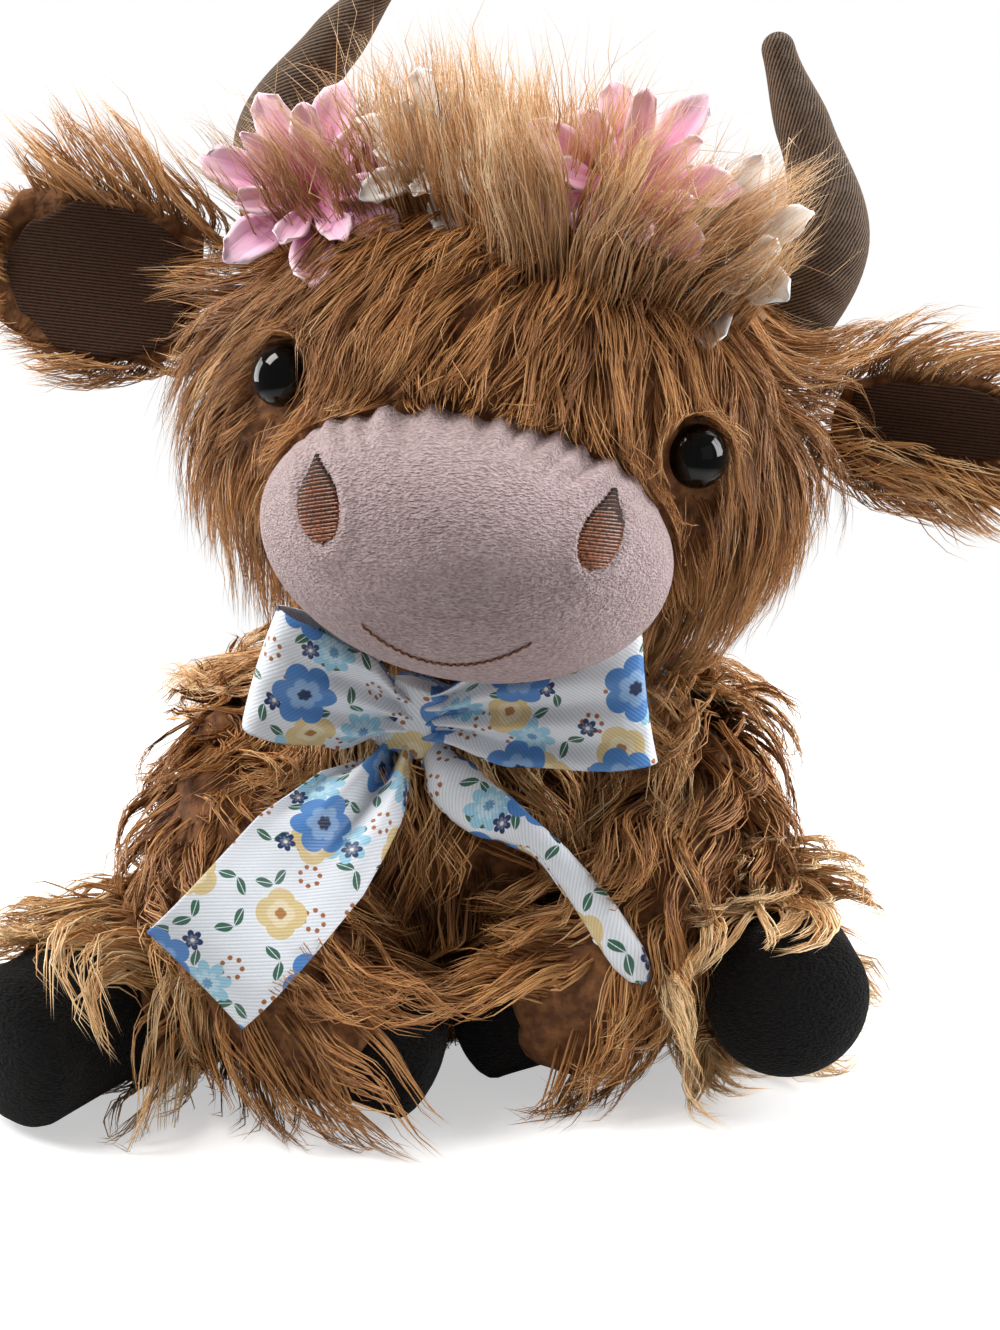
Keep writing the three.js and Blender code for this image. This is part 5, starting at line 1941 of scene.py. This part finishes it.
muzzleColours = (0.625, 0.535, 0.53), (0.77, 0.695, 0.70)
muzzleMaterial = velourMaterial(
    "muzzleVelour", *muzzleColours, muzzleValues["roughness"], muzzleValues["sheen"]
)
muzzleFill = muzzleValues["fill"]
addPiece("muzzle", muzzleSkin(), "head", "muzzle_velour", muzzleMaterial, "muzzle_cover", fill=muzzleFill)


# Threads on the muzzle's front, at places across and up in the head's frame; each point of a
# thread is raised off the velour by its own amount.
def onMuzzle(x, z, rise):
    ball = muzzleBall
    tall = np.where(z > ball["middle"][2], ball["up"], ball["down"])
    level = 1 - ((x - ball["middle"][0]) / (ball["width"] / 2)) ** 2 - ((z - ball["middle"][2]) / tall) ** 2
    y = ball["middle"][1] - ball["depth"] / 2 * np.sqrt(np.clip(level, 0, 1))
    points = headPlaced(np.stack([x, y, z], axis=-1).reshape(-1, 3))
    outward = ballSense(ball, points)[1]
    return points.reshape(*x.shape, 3) + outward.reshape(*x.shape, 3) * rise[None, :, None]


# The satin thread's own colour is the dark brown; the copper in its mottling is painted glint.
threadDark, threadGlint = (0.36, (0.24, 0.12, 0.065)), (0.62, (0.64, 0.37, 0.22))
threadMaterial = mottled("threadSatin", 0.36, 1400.0, 2.0, threadDark, threadGlint)
# The dark under-thread is painted shade between the rows of stitches.
gapShadeDark, gapShadeLight = (0.35, (0.07, 0.035, 0.02)), (0.65, (0.20, 0.10, 0.055))
gapShadeMaterial = mottled("threadUnder", 0.8, 900.0, 2.0, gapShadeDark, gapShadeLight)


# Satin stitch: level threads across a drop with its point up, each a low arch over the velour. The
# drop is round below its widest place and tapers to a point above it.
def nostrilStitches(values):
    share = np.linspace(-1, 1, stitchValues["rows"])
    widest = stitchValues["widest"]
    drop = np.sqrt(np.clip(1 - ((share - widest) / (1 + widest)) ** 2, 0, 1))
    taper = np.cos(np.clip((share - widest) / (1 - widest), 0, 1) * math.pi / 2) ** 1.15
    wide = values["width"] / 2 * np.where(share < widest, drop, taper) + 0.0004
    rng = np.random.default_rng(71)
    across = np.linspace(-1, 1, 13)
    x = (wide * rng.uniform(0.93, 1.05, len(share)))[:, None] * across
    z = (share * values["height"] / 2)[:, None] + rng.normal(0, 0.00008, (len(share), 1)) + across * 0.0001
    lean = math.radians(values["lean"])
    u = x * math.cos(lean) - z * math.sin(lean) + values["x"]
    w = x * math.sin(lean) + z * math.cos(lean) + values["z"]
    return onMuzzle(u, w, 0.0001 + stitchValues["lift"] * (1 - across**2))


# Rows of thread along their paths.
def addStitches(name, paths, thread, around, material, *stoodFor):
    skin = tubes(paths, np.full(paths.shape[:2], thread), around)
    addPiece(name, skin, "head", "thread", material, *stoodFor, smooth=False)


# Under each row lies a thicker, darker thread, a little deeper, that shows between the rows: painted shade
# for the shadow in the gaps between stitches, not a real thread.
for word in sides:
    values, under = stitchValues[word], stitchValues["under"]
    name, thread = f"nostril{word.title()}Stitches", stitchValues["thread"]
    addStitches(name, nostrilStitches(values), thread, 6, threadMaterial, "nostril_" + word)
    paths = nostrilStitches({**values, "z": values["z"] + under["up"]}) + headTurn @ [0, under["deeper"], 0]
    addStitches(name + "Under", paths, thread * under["thicker"], 6, gapShadeMaterial)


# Back stitch: short thick threads end to end along the smile, each dipping at its ends.
def mouthStitches(values):
    count = values["stitches"]
    edges = np.linspace(-1, 1, count + 1)
    part = np.linspace(-0.08, 1.08, 9)
    share = edges[:-1, None] + (edges[1:] - edges[:-1])[:, None] * part
    x = share * values["width"] / 2 + values["x"]
    z = values["z"] - values["sag"] * (1 - share**2) + x * values["rise"]
    return onMuzzle(x, z, values["lift"] * np.sin(np.linspace(0, math.pi, 9)) - 0.0001)


mouth = stitchValues["mouth"]
addStitches("mouthStitches", mouthStitches(mouth), mouth["thread"], 8, threadMaterial, "mouth")

# Eyes

eyeLook = {"Base Color": linear(0.02, 0.017, 0.016), "Specular IOR Level": 0.28}
eyeMaterial = newMaterial("eyeGloss", 0.05, eyeLook)[0]
# Behind its dome an eye has a thin rim and then its shank: pairs of radius and height.
eyeShank = [[eyeValues["radius"], -0.0008], [eyeValues["radius"] * 0.96, -0.0015]]
eyeShank += [[0.0027, -0.0017], [0.0025, -0.017], [0, -0.0175]]


# A turned shape: a profile of radius and height carried round an axis.
def turnedSkin(profile, place, way, around=64):
    way = unit(np.asarray(way, float))
    side = unit(np.cross(way, [0.0, 0.0, 1.0]))
    up = np.cross(side, way)
    angle = np.arange(around) * 2 * math.pi / around
    circle = side * np.cos(angle)[:, None] + up * np.sin(angle)[:, None]
    radius, height = np.asarray(profile, float).T
    rings = place + way * height[1:-1, None, None] + circle[None] * radius[1:-1, None, None]
    return ringSkin(rings, place + way * height[0], place + way * height[-1])


for word, (place, way) in eyePlaces.items():
    turn = np.linspace(0, math.pi / 2, 24)
    dome = np.stack([eyeValues["radius"] * np.sin(turn), eyeValues["bulge"] * np.cos(turn)], axis=1)
    skin = turnedSkin(np.concatenate([dome, eyeShank]), place, way)
    addPiece("eye" + word.title(), skin, "head", "eye", eyeMaterial, "eye_" + word)

# Horns


# Twill of two yarns: dark ones with slanting pale lines between them, worn unevenly.
def twillCloth(name, dark, light, way, roughness, useUv):
    material, tree, shader = newMaterial(name, roughness, {"Specular IOR Level": 0.25})
    place = timesScale(mapPlace(tree) if useUv else objectPlace(tree), 1000.0)
    line = useGroup(tree, twillGroup, {"Place": place, "Way": way})["Line"]
    both = line * 0.6 + noiseAt(place, 0.9, 5.0, more={"Roughness": 0.7}) * 0.6
    put(shader.inputs["Base Color"], ramp(both, [(0.25, linear(*dark)), (0.85, linear(*light))]))
    addBump(shader, both, 0.7, 0.0004)
    return material


hornColours = (0.07, 0.045, 0.03), (0.47, 0.395, 0.335)
twillMaterial = twillCloth("hornTwill", *hornColours, (0.75, 0.58, 0), 0.9, True)


# A seam down the horn pulls its cloth into short folds.
def hornPucker(share, angle):
    near = np.exp(-((((angle - 4.2 + math.pi) % (2 * math.pi)) - math.pi) / 0.35) ** 2)
    return near * (0.0006 * np.sin(share * 95) - 0.0003)


# A ring skin's corners on flat cloth, in metres: round by each ring's own girth from a seam a
# quarter turn on, and along by the way between the rings' middles.
def wrapMap(points, quads, triangles, around):
    rings = points[:-2].reshape(-1, around, 3)
    middles = rings.mean(axis=1)
    radius = np.linalg.norm(rings - middles[:, None], axis=2).mean(axis=1)
    length = np.append(0, np.linalg.norm(np.diff(middles, axis=0), axis=1).cumsum())
    turn = np.append(np.tile((np.arange(around) - around // 4) % around, len(rings)), [0, 0])
    radius = np.append(np.repeat(radius, around), [0, 0])
    length = np.append(np.repeat(length, around), [length[0], length[-1]])
    pairs = []
    for faces in (quads, triangles):
        turns = turn[faces]
        crosses = turns.max(axis=1, keepdims=True) - turns.min(axis=1, keepdims=True) > around / 2
        turns = np.where(crosses & (turns == 0), around, turns)
        angle = (turns / around - 0.5) * 2 * math.pi
        pairs.append(np.stack([angle * radius[faces], length[faces]], axis=-1).reshape(-1, 2))
    return np.concatenate(pairs)


for word, horn in horns.items():
    points, quads, triangles = limbSkin(horn, 0.0, 72, 0.1, 1.0, hornPucker)
    skin = points, quads, triangles, wrapMap(points, quads, triangles, 72)
    addPiece("horn" + word.title(), skin, "head", "horn_twill", twillMaterial, "horn_" + word, fill=0.85)

# Ear linings

liningColours = (0.09, 0.05, 0.03), (0.32, 0.215, 0.15)
liningMaterial = twillCloth("liningTwill", *liningColours, (0.1, 0.1, 1.0), 0.92, False)
liningValues = {"rows": 30, "columns": 25, "thickness": 0.0012, "proud": 0.0008}


# A lining's sheet: over the ear's cupped front, as wide at each place as its outline says.
def liningGrid(word, side):
    start, end = earValues["liningEnds"]
    down = np.linspace(0, 1, liningValues["rows"])[:, None]
    share = start + (end - start) * down
    low, high = earValues["linings"][word]
    wide = (high - low) / 2 * along(earValues["liningOutline"], down)
    level = (high + low) / 2 + wide * np.linspace(-1, 1, liningValues["columns"])[None]
    tall = earValues["heights"][word] / 2 * along(earValues["outline"], share)
    thin = np.sqrt(np.clip(1 - (2 * share - 1) ** 2, 0, 1))
    rim = earValues["thickness"] / 2 * np.sqrt(np.clip(1 - level**2, 0, 1))
    cup = earValues["hollow"] * np.clip(1 - (level / earValues["cup"]) ** 2, 0, 1)
    y = (cup - rim) * thin - liningValues["proud"]
    x = np.broadcast_to(side * share * earValues["length"], y.shape)
    return earPlaced(word, np.stack([x, y, tall * level], axis=-1))


for word, side in sides.items():
    grid = liningGrid(word, side)
    flat = flatPlaces(liningValues["rows"], liningValues["columns"])
    skin = sheetSkin(grid, liningValues["thickness"], flat)
    node, under = "ear_lining_" + word, f"ear{word.title()}Skin"
    piece = addPiece(pieceName(node), skin, word + "_ear", "lining_twill", liningMaterial, node)

# Hooves

hoofMaterial = velourMaterial("hoofVelour", (0.02, 0.018, 0.018), (0.085, 0.08, 0.08), 0.95, 0.03)
for name, hoof in hooves.items():
    pair, _, word = name.split("_")
    points, quads, triangles = limbSkin(hoof, 0.0, 48, 0.1, hoofValues[pair]["round"])
    points[:, 2] = np.maximum(points[:, 2], 0.0004)
    skin = points, quads, triangles
    addPiece(pieceName(name), skin, f"{word}_{pair}_leg", "hoof_velour", hoofMaterial, name, fill=0.8)

# Crown of flowers

flowerValues = {
    "arc": 50,
    "out": 0.006,
    "ahead": 0.005,
    "tilt": 62,
    "rise": 28,
    "length": 0.035,
    "outline": [[0, 0.22], [0.3, 0.66], [0.68, 1], [0.9, 0.78], [1, 0.3]],
    "ruffle": 0.0013,
    "thickness": 0.0004,
    "rows": 12,
    "columns": 9,
    "layers": [(1.0, 0.0, 0.0), (0.72, 0.35, 0.5)],
}
# Each flower's place along the arc, its count of petals, its size and colour, and its own turn.
flowers = {
    "flower_pink_right": (-0.84, 7, 1.0, "pink", 0),
    "flower_white_right": (-0.36, 6, 0.8, "white", 0),
    "flower_pink_left": (0.3, 7, 1.0, "pink", 0),
    "flower_white_left": (0.74, 7, 0.92, "white", -24),
}
# Colours of the petals by the heart, in the middle and at the edge.
petalColours = {
    "pink": ((0.90, 0.50, 0.70), (0.985, 0.74, 0.88), (1.0, 0.93, 0.965)),
    "white": ((0.88, 0.87, 0.80), (0.97, 0.97, 0.96), (0.99, 0.99, 0.99)),
}


# Petal cloth: deepest by the heart, palest at the tip and edges, with fine veins along it.
def petalMaterial(name, heart, middle, edge):
    material, tree, shader = newMaterial(name, 0.75)
    down, across = partsOf(mapPlace(tree))[:2]
    veins = stripNoise(down, across, (2.0, 22.0), 3.0)
    rim = abs(across * 2.0 - 1.0)
    share = rim**3.0 * 0.35 + down * 0.8 + (veins - 0.5) * 0.5
    colour = ramp(share, [(0.05, linear(*heart)), (0.5, linear(*middle)), (1.0, linear(*edge))])
    put(shader.inputs["Base Color"], colour)
    addBump(shader, veins, 0.35, 0.0003)
    return material


petalMaterials = {word: petalMaterial(word + "Petal", *colours) for word, colours in petalColours.items()}


# The matrix of a turn about an axis.
def turnAbout(axis, angle):
    cos, sin = math.cos(angle), math.sin(angle)
    if axis == "x":
        return np.array([[1, 0, 0], [0, cos, -sin], [0, sin, cos]])
    if axis == "y":
        return np.array([[cos, 0, sin], [0, 1, 0], [-sin, 0, cos]])
    return np.array([[cos, -sin, 0], [sin, cos, 0], [0, 0, 1]])


# One petal along X from the heart: its width swells past the middle and rounds off, its edges
# lift and ruffle, and its tip curls.
def petalGrid(length, width, rise, curl):
    share = np.linspace(0.06, 1, flowerValues["rows"])[:, None]
    t = np.linspace(-1, 1, flowerValues["columns"])[None]
    wide = width / 2 * along(flowerValues["outline"], share)
    y = wide * t
    x = length * (share - 0.07 * t**2 * share**4)
    lift = rise * share + curl * share**3
    ruffle = flowerValues["ruffle"] * np.sin(share * 13 + t * 2.5 + length * 9000)
    ruffle = ruffle * np.abs(t) ** 1.5 * share
    z = length * lift + 0.3 * wide * t**2 + ruffle + 0.0005 * np.cos(t * 9) * np.sin(math.pi * share)
    return np.stack([x, y, z], axis=-1)


# A flower's petals in layers: the inner ones are shorter and steeper, between the outer ones.
def flowerPetals(count, size, rng):
    grids = []
    for longer, lifted, turned in flowerValues["layers"]:
        for index in range(count):
            length = flowerValues["length"] * size * longer * rng.uniform(0.88, 1.0)
            width = length * rng.uniform(0.36, 0.44)
            rise = math.tan(math.radians(flowerValues["rise"])) + lifted + rng.uniform(-0.15, 0.1)
            grid = petalGrid(length, width, rise, rng.uniform(-0.25, 0.05))
            angle = 2 * math.pi * (index + turned) / count + rng.uniform(-0.08, 0.08)
            grids.append(grid @ turnAbout("z", angle).T)
    return grids


# A flower on the crown's arc over the head, facing out and up, its petals joined in one piece.
def addFlower(name, share, count, size, word, facing):
    rng = np.random.default_rng(len(name) + count)
    ball = headBall
    angle = math.radians(share * flowerValues["arc"])
    across = ball["width"] / 2 * 0.984 + flowerValues["out"]
    high = ball["up"] * 0.984 + flowerValues["out"]
    depth = -0.0135 - flowerValues["ahead"]
    place = np.array(ball["middle"]) + [across * math.sin(angle), depth, high * math.cos(angle)]
    turn = turnAbout("x", math.radians(flowerValues["tilt"])) @ turnAbout("y", math.radians(facing))
    turn = turn @ turnAbout("z", angle / 2)
    grids = [headPlaced(place + grid @ turn.T) for grid in flowerPetals(count, size, rng)]
    parts, base = [], 0
    flat = flatPlaces(flowerValues["rows"], flowerValues["columns"])
    for grid in grids:
        points, quads, triangles, uvs = sheetSkin(grid, flowerValues["thickness"], flat)
        parts.append((points, quads + base, triangles, uvs))
        base += len(points)
    skin = [np.concatenate(part) for part in zip(*parts)]
    piece = addPiece(pieceName(name), skin, "head", word + "_petal", petalMaterials[word], name)


for name, values in flowers.items():
    addFlower(name, *values)

# Knot

knotValues = {"width": 0.021, "depth": 0.0145, "height": 0.0235, "lean": 24, "waist": 0.12, "crease": 0.05}


# Each value's power, with the value's own sign.
def signedPower(values, power):
    return np.sign(values) * np.abs(values) ** power


# A band of ribbon wound round the loops: a flat oval, waisted, with creases drawn in from its
# edges, leaning with the bow.
def knotSkin():
    values = knotValues
    angle = np.arange(96)[None] * 2 * math.pi / 96 + math.pi / 2
    share = np.linspace(-1, 1, 40)[:, None]
    girth = np.clip(1 - np.abs(share) ** 24, 0.5, 1) * (1 - values["waist"] * (1 - share**2))
    girth = girth * (1 + values["crease"] * np.sin(angle * 7 + 3 * share) * share**2)
    x = values["width"] / 2 * girth * signedPower(np.cos(angle), 0.75)
    y = values["depth"] / 2 * girth * signedPower(np.sin(angle), 0.75)
    z = values["height"] / 2 * share * np.ones_like(x) + x * 0.1
    lean = turnAbout("y", math.radians(values["lean"]))
    rings = np.stack([x, y, z], axis=-1) @ lean.T + knotMiddle
    around = np.broadcast_to((angle - math.pi / 2) * values["width"] * 0.45, x.shape)
    pairs = np.stack([around + 0.031, (share + 1) * values["height"] / 2 + 0.004 + 0 * x], axis=-1)
    pairs = np.concatenate([pairs.reshape(-1, 2), [[0.05, 0.0], [0.05, 0.02]]]) / bowValues["scale"]
    ends = np.array([[0, 0, -0.5], [0, 0, 0.5]]) * values["height"] @ lean.T * 0.98 + knotMiddle
    points, quads, triangles = ringSkin(rings, ends[0], ends[1])
    return points, quads, triangles, np.concatenate([pairs[quads.ravel()], pairs[triangles.ravel()]])


addPiece("bowKnot", knotSkin(), "torso", "ribbon", ribbonMaterial, "bow_knot")

# CAD nodes kept as they are

# Each material's roughness, the scale of its mottling, its dark and light colour, and its bump.
plainLooks = {
    "fibre": (0.95, 300, (0.90, 0.89, 0.87), (0.97, 0.96, 0.95), 0.8),
    "pellets": (0.6, 600, (0.78, 0.77, 0.73), (0.90, 0.89, 0.86), 0.9),
    "washerPlastic": (0.45, 500, (0.87, 0.86, 0.84), (0.92, 0.91, 0.89), 0.15),
    "crownCord": (0.8, 900, (0.55, 0.42, 0.30), (0.72, 0.58, 0.44), 0.7),
}
plain = {
    name: mottled(name, roughness, scale, 5.0, (0.3, dark), (0.7, light), (bump, 0.0005))
    for name, (roughness, scale, dark, light, bump) in plainLooks.items()
}
kept = {
    "pellet_bag": plain["pellets"],
    "eye_washer_left": plain["washerPlastic"],
    "eye_washer_right": plain["washerPlastic"],
    "crown_cord": plain["crownCord"],
    "ribbon_band": bandMaterial,
}
for name, node in frame["nodes"].items():
    if name.endswith("filling"):
        kept[name] = plain["fibre"]
for name, material in kept.items():
    node = frame["nodes"][name]
    node.data.materials.clear()
    node.data.materials.append(material)

# Stage

makeCamera(cameraValues)
scene = bpy.context.scene
scene.view_settings.view_transform = "Standard"

stageValues = {
    "size": 1.2,
    "floor": 0.7,
    "floorGlow": 0.5,
    "world": 0.20,
    "near": 0.26,
    "far": 0.48,
}
# Each lamp's place, the height that it is aimed at over the origin, its size, power and colour.
lamps = {
    "keyLamp": ((-0.70, -0.28, 1.05), 0.12, (0.45, 0.6), 14.5, (1, 0.98, 0.95)),
    "fillLamp": ((0.95, -0.8, 0.5), 0.12, (0.8, 0.8), 0.4, (1, 1, 1)),
    "topLamp": ((0.35, 0.45, 0.9), 0.15, (0.8, 0.6), 9.0, (1, 0.99, 0.96)),
    "leftLamp": ((-1.0, 0.2, 0.35), 0.1, (0.5, 0.7), 8.0, (1, 1, 1)),
    "rightLamp": ((1.0, 0.08, 0.5), 0.1, (0.5, 0.7), 14.0, (1, 1, 1)),
}


# A pale floor that fades into the white behind it, and keeps the shadow.
def makeFloor():
    size = stageValues["size"]
    points = [(-size, -size, 0), (size, -size, 0), (size, size, 0), (-size, size, 0)]
    mesh = makeMesh("floor", points, [[0, 1, 2, 3]], [])
    floor = bpy.data.objects.new("floor", mesh)
    scene.collection.objects.link(floor)
    look = {"Base Color": grey(stageValues["floor"]), "Specular IOR Level": 0.0}
    material, tree, shader = newMaterial("paleFloor", 1.0, look)
    length = addNode(tree, "VectorMath", {0: objectPlace(tree)}, operation="LENGTH")
    reach = Number(length.outputs["Value"])
    seen = Number(addNode(tree, "LightPath").outputs["Is Camera Ray"])
    glow = addNode(tree, "Emission", {"Strength": seen * stageValues["floorGlow"]})
    lit = addNode(tree, "AddShader", {0: shader.outputs[0], 1: glow.outputs[0]})
    fade = mapped(reach, stageValues["near"], stageValues["far"], interpolation_type="SMOOTHSTEP")
    clear = addNode(tree, "BsdfTransparent")
    both = addNode(tree, "MixShader", {0: fade, 1: lit.outputs[0], 2: clear.outputs[0]})
    put(tree.nodes["Material Output"].inputs["Surface"], both.outputs[0])
    mesh.materials.append(material)


# A world that lights the cow softly, and is white where the camera sees it.
def makeWorld():
    world = bpy.data.worlds.new("studio")
    scene.world = world
    world.use_nodes = True
    tree = world.node_tree
    tree.nodes.clear()
    seen = addNode(tree, "LightPath").outputs["Is Camera Ray"]
    light = addNode(tree, "Background", {"Color": (1, 0.99, 0.98, 1), "Strength": stageValues["world"]})
    white = addNode(tree, "Background", {"Color": (1, 1, 1, 1), "Strength": 1.0})
    choice = addNode(tree, "MixShader", {0: seen, 1: light.outputs[0], 2: white.outputs[0]})
    put(addNode(tree, "OutputWorld").inputs["Surface"], choice.outputs[0])


# A soft lamp at a place, aimed at a height over the origin.
def addLamp(name, place, aim, size, power, colour):
    data = bpy.data.lights.new(name, "AREA")
    data.shape = "RECTANGLE"
    data.size, data.size_y = size
    data.energy = power
    data.color = colour
    lamp = bpy.data.objects.new(name, data)
    lamp.location = place
    lamp.rotation_euler = (Vector((0, 0, aim)) - Vector(place)).to_track_quat("-Z", "Y").to_euler()
    scene.collection.objects.link(lamp)


makeFloor()
makeWorld()
for name, values in lamps.items():
    addLamp(name, *values)
